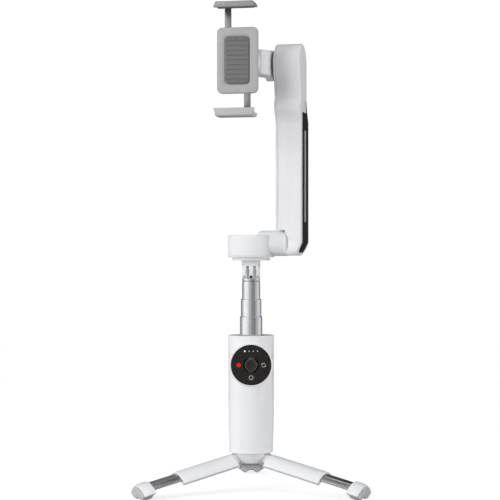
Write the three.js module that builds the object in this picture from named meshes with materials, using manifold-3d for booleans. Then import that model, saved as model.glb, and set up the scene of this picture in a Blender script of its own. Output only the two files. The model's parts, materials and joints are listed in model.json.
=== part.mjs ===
// Phone gimbal stabilizer: a round handle with a telescopic rod, a tilting neck, three motor axes
// (pan, tilt, roll) and an arm fold, a rack and pinion phone clamp, and a tripod of three legs that
// fold down and slide in. Millimetres, +Z up, front towards -Y, standing on Z = 0.

import * as THREE from 'three';
import { mergeVertices } from 'three/addons/utils/BufferGeometryUtils.js';
import Module from 'manifold-3d';

const wasm = await Module();
wasm.setup();

// ---------------------------------------------------------------------------------------------
// Driving dimensions (mm and degrees)
// ---------------------------------------------------------------------------------------------

const GAP = 0.3; // clearance between neighbouring pieces
const OVER = 1; // how far a cutting solid runs past the face that it opens
const ROUND = 36; // facets on the handle and the tubes
const MEDIUM = 24; // facets on motors and bosses
const SMALL = 12; // facets on pins and small parts

const layout = { axisY: -17.3, headTurn: -12 }; // the handle's axis stands ahead of the feet's middle

const handle = {
  radius: 17.9,
  bottomRadius: 17.2,
  wall: 1.8,
  baseZ: 29.5,
  shellZ: 34.3,
  straightZ: 60,
  capZ: 119.3,
  capTopZ: 121.2,
  topZ: 121.5,
  rodHole: 9.2,
  rim: 0.5,
};

const disc = {
  centreZ: 99.2,
  radius: 15.5,
  faceY: -19.5,
  backY: -17.6,
  bossRadius: 17,
  bossFaceY: -19.3,
  pocketRadius: 15.8,
  pocketFloorY: -16.9,
  holeRadius: 6,
};

const stick = { capRadius: 4.6, capFrontY: -20.3, capBackY: -18.9, pivotY: -13.4, ballRadius: 1.8 };
const cradle = { outer: 4.2, inner: 2.5, thickness: 2.2, trunnion: 0.9, span: 5.4, wellRadius: 6.6 };

const power = { centreZ: 70, centreY: 5, width: 4.6, height: 15.4, depth: 3.4, proud: 0.25 };
const port = { centreZ: 45, width: 9, height: 3.4, wall: 0.5, outerX: -17.2, innerX: -11 };
const trigger = { pivotY: 14.2, pivotZ: 109.4, width: 10, topZ: 112.4, bottomZ: 88.2, bulgeY: 21.6 };
const triggerPin = { radius: 0.8, halfLength: 7, lug: 2 };
const board = { width: 15, thickness: 1.6, frontY: -13.2, bottomZ: 48, topZ: 88 };

const rods = {
  length: 82,
  outer: { radius: 9.7, bore: 9.05, bottomZ: 38.5, topZ: 119 },
  lower: { radius: 8.8, bore: 8.2, topZ: 136.3 },
  middle: { radius: 8.05, bore: 7.45, topZ: 150 },
  upper: { radius: 7.1, bore: 6.4, topZ: 164 },
};

const neck = {
  pivotZ: 171.4,
  ringTopZ: 166,
  plugRadius: 6.1,
  plugLength: 6,
  earRadius: 4.4,
  earIn: 1.6,
  earOut: 3.8,
  prongRadius: 5,
  radius: 7.2,
  discZ: 176.7,
  reliefY: -5.2,
  reliefZ: 179,
  flangeRadius: 14.7,
  flangeZ: 180.2,
  flangeTopZ: 182.4,
  pinRadius: 1.5,
  pinHalf: 6.9,
  boreRadius: 2.4,
  boreX: 6.2,
};

const pan = {
  radius: 18.3,
  capZ: 182.7,
  housingZ: 184.5,
  topZ: 200.1,
  edge: 1.6,
  cavityRadius: 13.2,
  cavityTopZ: 194.5,
  statorRadius: 12,
  postRadius: 4.5,
};

const fold = { axisZ: 193.7, radius: 10, startX: 5, coneX: 29.4, tipX: 32.4, tipRadius: 3.6 };
const foldShaft = { radius: 3, fromX: 15.3, toX: 39.4 };

const arm = {
  innerX: 22.6,
  coverX: 24.1,
  outerX: 43.2,
  halfDepth: 17,
  bottomZ: 184,
  notchZ: 204,
  grooveX: 32.8,
  grooveEndX: 29.9,
  slantZ: 194.2,
  slantIn: 4.6,
  wall: 1.8,
  cavityZ: 208,
  edge: 5,
  bottomCorner: 6,
  bendZ: 288.5,
  bendRise: 12.5,
  headFrontY: -25.5,
  headRearY: 7.5,
};

const tilt = {
  axisY: -9,
  axisZ: 331.8,
  rotorRadius: 10.5,
  rotorX: 20.5,
  rotorEndX: 34.5,
  statorRadius: 13.8,
  statorX: 26,
  statorEndX: 37,
  hubRadius: 12,
  bracketX: 14.2,
  bracketOuterX: 20.2,
  beamX: 8.5,
  beamHalf: 10,
};

const inlay = {
  frontY: -12.6,
  rearY: 13.4,
  bottomZ: 186.4,
  topZ: 295.5,
  tailZ: 305,
  thick: 1.1,
  proud: 0.1,
  cut: 3.5,
};
const trim = { halfWidth: 1.9, bottomZ: 210, topZ: 282, depth: 0.5, proud: 0.15 };
const battery = { fromX: 26, toX: 40, halfDepth: 13, bottomZ: 212, topZ: 290 };

const roll = {
  canRadius: 15,
  canBackY: -26,
  canFrontY: -41,
  pocketRadius: 13.2,
  pocketBackY: -29,
  statorRadius: 12.8,
  statorBore: 5,
  rotorRadius: 13.8,
  rotorFrontY: -44,
  shaftRadius: 4.6,
  plateRadius: 13,
  plateFrontY: -46.6,
};

const clamp = {
  halfWidth: 15.8,
  halfHeight: 25,
  backY: -46.9,
  frontY: -51.2,
  corner: 3,
  slotBackY: -48.1,
  slotFrontY: -50,
  slotHalf: 10.4,
  padFrontY: -52.2,
  padHalfWidth: 9,
  padHalfHeight: 18,
};

const jaw = {
  halfWidth: 15.7,
  outerHalfWidth: 14,
  plateIn: 40.1,
  plateOut: 43.1,
  upperLipIn: 38.6,
  lowerLipIn: 36.8,
  lipBackY: -60.9,
  frontY: -63.5,
  rearY: -47,
  corner: 1.2,
  padIn: 38.8,
  padHalfWidth: 14,
  stemIn: 4.9,
  stemOut: 10,
  stemEnd: -14,
};

const gear = { teeth: 10, pitchRadius: 4, root: 3, tip: 4.6, rackTip: 3.4, baseHalf: 0.5, tipHalf: 0.22 };
const gearShaft = { radius: 1.2, endY: -45.7 };
const spring = { inner: 1.8, outer: 5, turns: 2.5, strip: 0.5, pocketRadius: 5.6, pocketY: -45.2 };

const leg = {
  azimuths: { left: 210, right: 330, rear: 90 },
  pivotRadius: 11.5,
  pivotZ: 26,
  openTurn: 78,
  inner: 10.6,
  outer: 15.4,
  half: 57,
  channelInner: 12,
  channelOuter: 14.2,
  channelHalf: 45,
  sleeveStart: 7,
  channelStart: 9,
  sleeveEnd: 56,
  tongueHalf: 4,
  tongueRadius: 3.2,
  barInner: 12.3,
  barOuter: 13.9,
  barHalf: 42,
  barStart: 35,
  barEnd: 82.5,
  grooveDepth: 0.6,
  grooveY: 5,
  grooveHalf: 0.7,
  grooveStart: 39,
  grooveEnd: 79.5,
  footStart: 80.5,
  domeStart: 83.5,
  footEnd: 90,
  footHalf: 58,
  domeRadius: 12.2,
  footInner: 11.9,
  soleInner: 5.5,
  soleOuter: 11.6,
  soleStart: 81.5,
  soleEnd: 90.5,
  footClearance: 0.5,
  pinRadius: 1,
  pinHalf: 5,
};

const hub = {
  radius: 15.4,
  bottomRadius: 11.9,
  bottomZ: 21.7,
  taperZ: 29.2,
  topZ: 36,
  slotHalf: 4.3,
  slotStart: 7.6,
  bore: 5.8,
};
const insert = { radius: 5.5, bore: 3.2, bottomZ: 22.4, topZ: 33 };

// ---------------------------------------------------------------------------------------------
// Materials
// ---------------------------------------------------------------------------------------------

const finish = (color, roughness, metalness) => new THREE.MeshStandardMaterial({ color, roughness, metalness });

const whitePlastic = finish(0xeeeff3, 0.45, 0);
const blackPlastic = finish(0x2d2727, 0.25, 0);
const polishedMetal = finish(0xc6c9cd, 0.15, 1);
const satinMetal = finish(0xa3a3a1, 0.4, 1);
const greyPlastic = finish(0xbababa, 0.5, 0);
const lightRubber = finish(0xb4b5ba, 0.85, 0);
const greyRubber = finish(0x77787a, 0.85, 0);
const brass = finish(0xb5a25a, 0.35, 1);
const copper = finish(0xa86a45, 0.45, 1);
const circuit = finish(0x245a3a, 0.6, 0);
const wrap = finish(0x3c5a9a, 0.5, 0);

// ---------------------------------------------------------------------------------------------
// Solids: drawn as geometry, joined and cut as closed solids, and turned back into geometry
// ---------------------------------------------------------------------------------------------

const radians = THREE.MathUtils.degToRad;

function solidFrom(geometry) {
  const bare = geometry.clone();
  bare.deleteAttribute('normal');
  bare.deleteAttribute('uv');
  const merged = mergeVertices(bare, 1e-4);
  const corners = merged.index.array;
  const triangles = [];
  for (let i = 0; i < corners.length; i += 3) {
    const [a, b, c] = corners.slice(i, i + 3);
    if (a !== b && b !== c && c !== a) triangles.push(a, b, c);
  }
  return new wasm.Manifold(
    new wasm.Mesh({
      numProp: 3,
      vertProperties: new Float32Array(merged.attributes.position.array),
      triVerts: new Uint32Array(triangles),
    }),
  );
}

function geometryFrom(solid) {
  const mesh = solid.getMesh();
  const geometry = new THREE.BufferGeometry();
  geometry.setAttribute('position', new THREE.BufferAttribute(mesh.vertProperties, 3));
  geometry.setIndex(new THREE.BufferAttribute(mesh.triVerts, 1));
  geometry.computeVertexNormals();
  return geometry;
}

function piece(name, solid, material) {
  const mesh = new THREE.Mesh(geometryFrom(solid), material);
  mesh.name = name;
  return mesh;
}

const joined = (...solids) => solids.reduce((all, next) => all.add(next));
const cut = (solid, ...tools) => tools.reduce((rest, tool) => rest.subtract(tool), solid);

// Turns a shape drawn round or along Z so that its Z runs along the named axis.
const AXIS_TURN = {
  x: new THREE.Matrix4().set(0, 0, 1, 0, 1, 0, 0, 0, 0, 1, 0, 0, 0, 0, 0, 1),
  y: new THREE.Matrix4().set(0, 1, 0, 0, 0, 0, 1, 0, 1, 0, 0, 0, 0, 0, 0, 1),
  z: new THREE.Matrix4(),
};

// A solid of revolution. The profile lists [radius, place along the axis]; centre is where the axis runs.
function turned(profile, sides = MEDIUM, axis = 'z', centre = [0, 0, 0]) {
  const area = profile.reduce((sum, [r, z], i) => {
    const [r2, z2] = profile[(i + 1) % profile.length];
    return sum + r * z2 - r2 * z;
  }, 0);
  const points = (area > 0 ? profile : [...profile].reverse()).map(([r, z]) => new THREE.Vector2(r, z));
  points.push(points[0].clone());
  const geometry = new THREE.LatheGeometry(points, sides);
  geometry.rotateX(Math.PI / 2);
  geometry.applyMatrix4(AXIS_TURN[axis]);
  geometry.translate(...centre);
  return solidFrom(geometry);
}

function round(radius, from, to, sides = MEDIUM, axis = 'z', centre = [0, 0, 0]) {
  return turned([[0, from], [radius, from], [radius, to], [0, to]], sides, axis, centre);
}

function ring(inner, outer, from, to, sides = MEDIUM, axis = 'z', centre = [0, 0, 0]) {
  return turned([[inner, from], [outer, from], [outer, to], [inner, to]], sides, axis, centre);
}

function block(x0, x1, y0, y1, z0, z1) {
  const geometry = new THREE.BoxGeometry(x1 - x0, y1 - y0, z1 - z0);
  geometry.translate((x0 + x1) / 2, (y0 + y1) / 2, (z0 + z1) / 2);
  return solidFrom(geometry);
}

// A prism. Its outline is drawn in (x, y) for axis z, in (x, z) for axis y and in (y, z) for axis x.
function prism(shape, axis, from, to, curveSegments = 6) {
  const geometry = new THREE.ExtrudeGeometry(shape, { depth: to - from, bevelEnabled: false, curveSegments });
  if (axis === 'z') geometry.translate(0, 0, from);
  if (axis === 'x') {
    geometry.applyMatrix4(AXIS_TURN.x);
    geometry.translate(from, 0, 0);
  }
  if (axis === 'y') {
    geometry.rotateX(Math.PI / 2);
    geometry.translate(0, to, 0);
  }
  return solidFrom(geometry);
}

const outline = (points) => new THREE.Shape(points.map(([x, y]) => new THREE.Vector2(x, y)));

// A rectangle whose corners are rounded; the radii are given for the low-x and the high-x side.
function roundedRect(x0, x1, y0, y1, lowRadius, highRadius = lowRadius) {
  const shape = new THREE.Shape();
  shape.absarc(x0 + lowRadius, y0 + lowRadius, lowRadius, Math.PI, Math.PI * 1.5, false);
  shape.absarc(x1 - highRadius, y0 + highRadius, highRadius, -Math.PI / 2, 0, false);
  shape.absarc(x1 - highRadius, y1 - highRadius, highRadius, 0, Math.PI / 2, false);
  shape.absarc(x0 + lowRadius, y1 - lowRadius, lowRadius, Math.PI / 2, Math.PI, false);
  shape.closePath();
  return shape;
}

// A slice of a ring, centred on +X, between two radii.
function sector(inner, outer, half, z0, z1, curveSegments = 10) {
  const angle = radians(half);
  const shape = new THREE.Shape();
  shape.absarc(0, 0, outer, -angle, angle, false);
  shape.absarc(0, 0, inner, angle, -angle, true);
  shape.closePath();
  return prism(shape, 'z', z0, z1, curveSegments);
}

// ---------------------------------------------------------------------------------------------
// Handle
// ---------------------------------------------------------------------------------------------

const innerRadius = handle.radius - handle.wall;

function handleTube() {
  return turned(
    [
      [handle.bottomRadius - handle.wall, handle.shellZ],
      [handle.bottomRadius, handle.shellZ],
      [handle.radius, handle.straightZ],
      [handle.radius, handle.topZ - handle.rim],
      [handle.radius - handle.rim, handle.topZ],
      [innerRadius, handle.topZ],
      [innerRadius, handle.straightZ],
    ],
    ROUND,
  );
}

function portHole() {
  const halfWidth = port.width / 2 + GAP;
  const halfHeight = port.height / 2 + GAP;
  return block(
    port.outerX - 2, port.innerX, -halfWidth, halfWidth,
    port.centreZ - halfHeight, port.centreZ + halfHeight,
  );
}

function frontShell() {
  const centre = [0, 0, disc.centreZ];
  const boss = round(disc.bossRadius, disc.bossFaceY, 0, ROUND, 'y', centre);
  const pocket = round(disc.pocketRadius, disc.bossFaceY - OVER, disc.pocketFloorY, ROUND, 'y', centre);
  const well = round(cradle.wellRadius, disc.bossFaceY - OVER, 0, MEDIUM, 'y', centre);
  const core = round(innerRadius, handle.shellZ - OVER, handle.topZ + OVER, ROUND);
  const rearHalf = block(-30, 30, -GAP / 2, 30, 0, handle.topZ + OVER);
  return cut(joined(handleTube(), cut(boss, core)), pocket, well, rearHalf, portHole());
}

function triggerLug(side) {
  const near = side * (trigger.width / 2 + 2 * GAP);
  const far = side * (triggerPin.halfLength + OVER);
  return block(
    Math.min(near, far), Math.max(near, far),
    trigger.pivotY - triggerPin.lug, trigger.pivotY + triggerPin.lug,
    trigger.pivotZ - triggerPin.lug, trigger.pivotZ + triggerPin.lug,
  );
}

function rearShell() {
  const frontHalf = block(-30, 30, -30, GAP / 2, 0, handle.topZ + OVER);
  const triggerHole = block(
    -trigger.width / 2 - 2 * GAP, trigger.width / 2 + 2 * GAP, 8, 30,
    trigger.bottomZ - 2 * GAP, trigger.topZ + 2 * GAP,
  );
  const pinHole = round(
    triggerPin.radius + GAP, -triggerPin.halfLength - GAP, triggerPin.halfLength + GAP,
    SMALL, 'x', [0, trigger.pivotY, trigger.pivotZ],
  );
  const shell = joined(handleTube(), triggerLug(-1), triggerLug(1));
  return cut(shell, frontHalf, triggerHole, pinHole, powerHole(), portHole());
}

function powerSlab(growth) {
  const halfWidth = power.width / 2 + growth;
  const halfHeight = power.height / 2 + growth;
  return block(
    handle.radius - power.depth - 1 - growth, handle.radius + 2,
    power.centreY - halfWidth, power.centreY + halfWidth,
    power.centreZ - halfHeight, power.centreZ + halfHeight,
  );
}

const powerHole = () => powerSlab(GAP);

function powerButton() {
  const outer = handle.radius + power.proud;
  const zone = ring(outer - power.depth, outer, 0, handle.topZ, ROUND);
  return powerSlab(0).intersect(zone);
}

// The cap lies inside the shells' upper rim, round the rod.
const topCap = () => ring(handle.rodHole, innerRadius - GAP, handle.capZ, handle.capTopZ, ROUND);

function baseRing() {
  return turned(
    [
      [hub.radius + GAP, handle.baseZ],
      [handle.bottomRadius - handle.rim, handle.baseZ],
      [handle.bottomRadius, handle.baseZ + handle.rim],
      [handle.bottomRadius, handle.shellZ - GAP],
      [hub.radius + GAP, handle.shellZ - GAP],
    ],
    ROUND,
  );
}

function touchDisc() {
  return ring(disc.holeRadius, disc.radius, disc.faceY, disc.backY, ROUND, 'y', [0, 0, disc.centreZ]);
}

function joystick() {
  const centre = [0, 0, disc.centreZ];
  const cap = turned(
    [
      [0, stick.capFrontY + 0.3],
      [stick.capRadius - 1, stick.capFrontY],
      [stick.capRadius, stick.capFrontY + 0.4],
      [stick.capRadius, stick.capBackY],
      [0, stick.capBackY],
    ],
    MEDIUM, 'y', centre,
  );
  const stem = round(1.1, stick.capBackY - GAP, stick.pivotY, SMALL, 'y', centre);
  const ball = turned(
    [
      [0, stick.pivotY - stick.ballRadius],
      [stick.ballRadius * 0.7, stick.pivotY - stick.ballRadius * 0.7],
      [stick.ballRadius, stick.pivotY],
      [stick.ballRadius * 0.7, stick.pivotY + stick.ballRadius * 0.7],
      [0, stick.pivotY + stick.ballRadius],
    ],
    SMALL, 'y', centre,
  );
  return joined(cap, stem, ball);
}

function joystickCradle() {
  const centre = [0, stick.pivotY, disc.centreZ];
  const hoop = ring(cradle.inner, cradle.outer, -cradle.thickness / 2, cradle.thickness / 2, SMALL, 'y', centre);
  const trunnions = round(cradle.trunnion, -cradle.span, cradle.span, SMALL, 'x', centre);
  const bore = round(cradle.inner, -cradle.span, cradle.span, SMALL, 'y', centre);
  return cut(joined(hoop, trunnions), bore);
}

function triggerLever() {
  const side = new THREE.Shape();
  side.moveTo(12, trigger.topZ - 1);
  side.lineTo(12, trigger.pivotZ - 5);
  side.lineTo(14.4, trigger.pivotZ - 8);
  side.lineTo(14.4, trigger.bottomZ + 1);
  side.lineTo(16.5, trigger.bottomZ);
  side.quadraticCurveTo(trigger.bulgeY + 2.2, (trigger.topZ + trigger.bottomZ) / 2 - 3, 17.2, trigger.topZ);
  side.closePath();
  const lever = prism(side, 'x', -trigger.width / 2, trigger.width / 2, 8);
  const centre = [0, trigger.pivotY, trigger.pivotZ];
  return cut(lever, round(triggerPin.radius + GAP, -trigger.width, trigger.width, SMALL, 'x', centre));
}

function pinAcross() {
  const centre = [0, trigger.pivotY, trigger.pivotZ];
  return round(triggerPin.radius, -triggerPin.halfLength, triggerPin.halfLength, SMALL, 'x', centre);
}

function controlBoard() {
  const half = board.width / 2;
  return block(-half, half, board.frontY, board.frontY + board.thickness, board.bottomZ, board.topZ);
}

function chargingPort() {
  const halfWidth = port.width / 2;
  const halfHeight = port.height / 2;
  const shell = block(
    port.outerX, port.innerX + GAP, -halfWidth, halfWidth, port.centreZ - halfHeight, port.centreZ + halfHeight,
  );
  const mouth = block(
    port.outerX - OVER, port.innerX - port.wall, -halfWidth + port.wall, halfWidth - port.wall,
    port.centreZ - halfHeight + port.wall, port.centreZ + halfHeight - port.wall,
  );
  return cut(shell, mouth);
}

function buildHandle() {
  const group = new THREE.Group();
  group.add(
    piece('handle_front_shell', frontShell(), whitePlastic),
    piece('handle_rear_shell', rearShell(), whitePlastic),
    piece('handle_top_cap', topCap(), whitePlastic),
    piece('handle_base_ring', baseRing(), whitePlastic),
    piece('control_board', controlBoard(), circuit),
    piece('charging_port', chargingPort(), satinMetal),
    piece('touch_disc', touchDisc(), blackPlastic),
    piece('joystick', joystick(), blackPlastic),
    piece('joystick_cradle', joystickCradle(), greyPlastic),
    piece('power_button', powerButton(), greyPlastic),
    piece('trigger', triggerLever(), whitePlastic),
    piece('trigger_pin', pinAcross(), polishedMetal),
  );
  return group;
}

// ---------------------------------------------------------------------------------------------
// Telescopic rod and its tilting neck
// ---------------------------------------------------------------------------------------------

const tube = ({ radius, bore, topZ }, length) => ring(bore, radius, topZ - length, topZ, ROUND);

function yoke() {
  const lowEnd = rods.upper.topZ + GAP;
  const plug = round(neck.plugRadius, lowEnd - neck.plugLength, neck.ringTopZ, MEDIUM);
  const collar = round(rods.upper.radius, lowEnd, neck.ringTopZ, ROUND);
  const ears = [-1, 1].map((side) => {
    const low = Math.min(side * neck.earIn, side * neck.earOut);
    const high = Math.max(side * neck.earIn, side * neck.earOut);
    const eye = round(neck.earRadius, low, high, MEDIUM, 'x', [0, 0, neck.pivotZ]);
    return joined(eye, block(low, high, -neck.earRadius, neck.earRadius, lowEnd, neck.pivotZ));
  });
  return cut(joined(plug, collar, ...ears), neckHole());
}

function neckHole() {
  return round(neck.pinRadius + GAP, -neck.radius - OVER, neck.radius + OVER, SMALL, 'x', [0, 0, neck.pivotZ]);
}

function neckPin() {
  return round(neck.pinRadius, -neck.pinHalf, neck.pinHalf, SMALL, 'x', [0, 0, neck.pivotZ]);
}

function neckFork() {
  const knuckle = round(neck.prongRadius, -neck.radius, neck.radius, MEDIUM, 'x', [0, 0, neck.pivotZ]);
  const wide = neck.radius;
  const prongs = joined(
    knuckle,
    block(-wide, wide, -neck.prongRadius, neck.prongRadius, neck.pivotZ, neck.flangeZ),
  ).intersect(round(neck.radius, neck.pivotZ - 10, neck.flangeZ, MEDIUM));
  const relief = block(-wide, wide, -wide - OVER, neck.reliefY, neck.discZ - OVER, neck.reliefZ);
  const body = cut(round(neck.radius, neck.discZ, neck.flangeTopZ, MEDIUM), relief);
  const flange = round(neck.flangeRadius, neck.flangeZ, neck.flangeTopZ, ROUND);
  const slotTop = neck.pivotZ + neck.earRadius + GAP;
  const slots = [-1, 1].map((side) => {
    const low = Math.min(side * (neck.earIn - GAP), side * (neck.earOut + GAP));
    const high = Math.max(side * (neck.earIn - GAP), side * (neck.earOut + GAP));
    return block(low, high, -wide, wide, neck.pivotZ - 10, slotTop);
  });
  const headBores = [[-wide - OVER, -neck.boreX], [neck.boreX, wide + OVER]].map(([from, to]) =>
    round(neck.boreRadius, from, to, MEDIUM, 'x', [0, 0, neck.pivotZ]),
  );
  return cut(joined(prongs, body, flange), ...slots, ...headBores, neckHole());
}

function panStator() {
  const base = neck.flangeTopZ + GAP;
  return turned(
    [
      [0, base],
      [pan.postRadius, base],
      [pan.postRadius, pan.housingZ + GAP],
      [pan.statorRadius, pan.housingZ + GAP],
      [pan.statorRadius, pan.cavityTopZ - 1],
      [0, pan.cavityTopZ - 1],
    ],
    MEDIUM,
  );
}

function buildRodAndNeck() {
  const group = new THREE.Group();
  const { outer, lower, middle, upper, length } = rods;
  group.add(
    piece('rod_outer_tube', tube(outer, outer.topZ - outer.bottomZ), satinMetal),
    piece('rod_lower_tube', tube(lower, length), polishedMetal),
    piece('rod_middle_tube', tube(middle, length), polishedMetal),
    piece('rod_upper_tube', tube(upper, length), polishedMetal),
    piece('rod_yoke', yoke(), satinMetal),
    piece('neck_pin', neckPin(), polishedMetal),
    piece('neck_fork', neckFork(), whitePlastic),
    piece('pan_stator', panStator(), copper),
  );
  return group;
}

// ---------------------------------------------------------------------------------------------
// Pan motor and the barrel of the arm's fold
// ---------------------------------------------------------------------------------------------

function foldBarrel() {
  const profile = [
    [0, fold.startX],
    [fold.radius - 3, fold.startX],
    [fold.radius, fold.startX + 3],
    [fold.radius, fold.coneX],
    [fold.tipRadius, fold.tipX],
    [0, fold.tipX],
  ];
  return turned(profile, ROUND, 'x', [0, 0, fold.axisZ]);
}

function panHousing() {
  const drum = turned(
    [
      [0, pan.housingZ],
      [pan.radius, pan.housingZ],
      [pan.radius, pan.topZ - pan.edge],
      [pan.radius - pan.edge, pan.topZ],
      [0, pan.topZ],
    ],
    ROUND,
  );
  const cavity = round(pan.cavityRadius, pan.housingZ - OVER, pan.cavityTopZ, MEDIUM);
  const bore = round(foldShaft.radius + GAP, foldShaft.fromX - GAP, fold.tipX + OVER, SMALL, 'x', [0, 0, fold.axisZ]);
  const capRoom = round(pan.radius + GAP, pan.capZ - OVER, pan.housingZ, ROUND);
  return cut(joined(drum, foldBarrel()), capRoom, cavity, bore);
}

function foldShaftPin() {
  return round(foldShaft.radius, foldShaft.fromX, foldShaft.toX, SMALL, 'x', [0, 0, fold.axisZ]);
}

function panCap() {
  const top = pan.housingZ - GAP;
  const profile = [
    [pan.postRadius + 2 * GAP, pan.capZ],
    [pan.radius - 1, pan.capZ],
    [pan.radius, pan.capZ + 0.8],
    [pan.radius, top],
    [pan.postRadius + 2 * GAP, top],
  ];
  return turned(profile, ROUND);
}

// ---------------------------------------------------------------------------------------------
// Arm
// ---------------------------------------------------------------------------------------------

// The arm's side view in (y, z), drawn smaller by the inset.
function armSide(inset) {
  const { halfDepth, bendZ, bendRise, bottomCorner, headFrontY, headRearY } = arm;
  const low = arm.bottomZ + inset;
  const corner = bottomCorner - inset / 2;
  const headRadius = (headRearY - headFrontY) / 2 - inset;
  const headY = (headRearY + headFrontY) / 2;
  const side = new THREE.Shape();
  side.absarc(-halfDepth + inset + corner, low + corner, corner, Math.PI, Math.PI * 1.5, false);
  side.absarc(halfDepth - inset - corner, low + corner, corner, -Math.PI / 2, 0, false);
  side.lineTo(halfDepth - inset, bendZ);
  side.lineTo(headRearY - inset, bendZ + bendRise);
  side.absarc(headY, tilt.axisZ, headRadius, 0, Math.PI, false);
  side.lineTo(headFrontY + inset, bendZ + bendRise + inset);
  side.lineTo(-halfDepth + inset, bendZ + inset);
  side.closePath();
  return side;
}

// What the arm leaves free for the fold barrel: everything left of a groove that follows the barrel's tip.
function barrelRoom() {
  const { notchZ, grooveX, grooveEndX, bottomZ } = arm;
  return prism(
    outline([
      [arm.innerX - OVER, bottomZ - OVER],
      [grooveEndX, bottomZ - OVER],
      [grooveEndX, fold.axisZ - fold.radius],
      [grooveX, fold.axisZ - fold.tipRadius],
      [grooveX, fold.axisZ + fold.tipRadius],
      [grooveEndX, notchZ],
      [arm.innerX - OVER, notchZ],
    ]),
    'y', -2 * arm.halfDepth, 2 * arm.halfDepth,
  );
}

// A layer along the arm's outer face, which slants inwards near the bottom. The two depths count outwards.
function faceLayer(fromDepth, toDepth) {
  const { outerX, slantZ, slantIn, bottomZ, halfDepth } = arm;
  const lowZ = bottomZ - OVER;
  const lowX = outerX - slantIn * ((slantZ - lowZ) / (slantZ - bottomZ));
  const topZ = tilt.axisZ + 2 * halfDepth;
  return prism(
    outline([
      [outerX + fromDepth, topZ],
      [outerX + fromDepth, slantZ],
      [lowX + fromDepth, lowZ],
      [lowX + toDepth, lowZ],
      [outerX + toDepth, slantZ],
      [outerX + toDepth, topZ],
    ]),
    'y', -2 * halfDepth, 2 * halfDepth,
  );
}

function inlaySide(growth) {
  const { frontY, rearY, bottomZ, topZ, tailZ, cut: corner } = inlay;
  const rise = (topZ - arm.bendZ) * ((arm.halfDepth - arm.headRearY) / arm.bendRise);
  const slant = rearY - rise - growth;
  return outline([
    [frontY - growth, bottomZ + corner],
    [frontY + corner, bottomZ - growth],
    [rearY - corner, bottomZ - growth],
    [rearY + growth, bottomZ + corner],
    [rearY + growth, arm.bendZ],
    [arm.headRearY - 3 + growth, tailZ + growth],
    [arm.headRearY - 5 - growth, tailZ + growth],
    [slant - 3, topZ + growth],
    [frontY - growth, topZ + growth],
  ]);
}

const inlayColumn = (growth) => prism(inlaySide(growth), 'x', arm.coverX, arm.outerX + arm.halfDepth);

function armSection(lowX, highX, lowEdge, highEdge) {
  const depth = 2 * arm.halfDepth;
  return prism(armSide(0), 'x', lowX, highX, 10).intersect(
    // the long edges are rounded by a section that is as deep as the straight part of the arm
    joined(
      prism(roundedRect(lowX, highX, -arm.halfDepth, arm.halfDepth, lowEdge, highEdge), 'z', 0, arm.bendZ, 4),
      block(lowX, highX, -depth, depth, arm.bendZ, tilt.axisZ + depth),
    ),
  );
}

function armShell() {
  const body = armSection(arm.coverX + GAP, arm.outerX, 0.4, arm.edge);
  const hollow = prism(armSide(arm.wall), 'x', arm.coverX, arm.outerX - arm.wall - inlay.thick, 10).intersect(
    block(arm.coverX, arm.outerX, -2 * arm.halfDepth, 2 * arm.halfDepth, arm.cavityZ, tilt.axisZ + 50),
  );
  const outside = faceLayer(0, arm.halfDepth);
  const recess = inlayColumn(GAP).intersect(faceLayer(-inlay.thick, arm.halfDepth));
  const bore = round(foldShaft.radius + GAP, arm.grooveX - OVER, foldShaft.toX + GAP, SMALL, 'x', [0, 0, fold.axisZ]);
  return cut(body, barrelRoom(), hollow, outside, recess, bore);
}

function armInnerCover() {
  const plate = armSection(arm.innerX, arm.coverX, 1.2, 0.3);
  const hole = round(tilt.rotorRadius + 2 * GAP, arm.innerX - OVER, arm.coverX + OVER, MEDIUM, 'x', tiltCentre);
  return cut(plate, barrelRoom(), hole);
}

const tiltCentre = [0, tilt.axisY, tilt.axisZ];

function armInlay() {
  const face = arm.outerX + inlay.proud;
  const plate = inlayColumn(0).intersect(faceLayer(GAP - inlay.thick, inlay.proud));
  const groove = block(
    face - trim.depth, face + OVER, -trim.halfWidth - GAP, trim.halfWidth + GAP, trim.bottomZ - GAP, trim.topZ + GAP,
  );
  return cut(plate, groove);
}

function armTrim() {
  const face = arm.outerX + inlay.proud + trim.proud;
  const radius = trim.halfWidth;
  return prism(
    roundedRect(-radius, radius, trim.bottomZ, trim.topZ, 0.95 * radius),
    'x', face - trim.depth, face, 3,
  );
}

function batteryPack() {
  const { fromX, toX, halfDepth, bottomZ, topZ } = battery;
  return prism(roundedRect(fromX, toX, -halfDepth, halfDepth, 4), 'z', bottomZ, topZ, 3);
}

function tiltStator() {
  const bore = tilt.rotorRadius + 2 * GAP;
  const profile = [
    [bore, tilt.statorX],
    [tilt.statorRadius, tilt.statorX],
    [tilt.statorRadius, tilt.statorEndX],
    [0, tilt.statorEndX],
    [0, tilt.statorEndX - 1.5],
    [bore, tilt.statorEndX - 1.5],
  ];
  return turned(profile, MEDIUM, 'x', tiltCentre);
}

// ---------------------------------------------------------------------------------------------
// Tilt bracket and roll motor
// ---------------------------------------------------------------------------------------------

function tiltBracket() {
  const rollCentre = [0, 0, tilt.axisZ];
  const hubPlate = round(tilt.hubRadius, tilt.bracketX, tilt.bracketOuterX, MEDIUM, 'x', tiltCentre);
  const beamFront = roll.canFrontY + 3;
  const beam = block(
    tilt.beamX, tilt.bracketOuterX, beamFront, tilt.axisY, tilt.axisZ - tilt.beamHalf, tilt.axisZ + tilt.beamHalf,
  );
  const can = round(roll.canRadius, roll.canFrontY, roll.canBackY, ROUND, 'y', rollCentre);
  const pocket = round(roll.pocketRadius, roll.canFrontY - OVER, roll.pocketBackY, MEDIUM, 'y', rollCentre);
  return cut(joined(hubPlate, beam, can), pocket);
}

function tiltRotor() {
  return round(tilt.rotorRadius, tilt.rotorX, tilt.rotorEndX, MEDIUM, 'x', tiltCentre);
}

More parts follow.
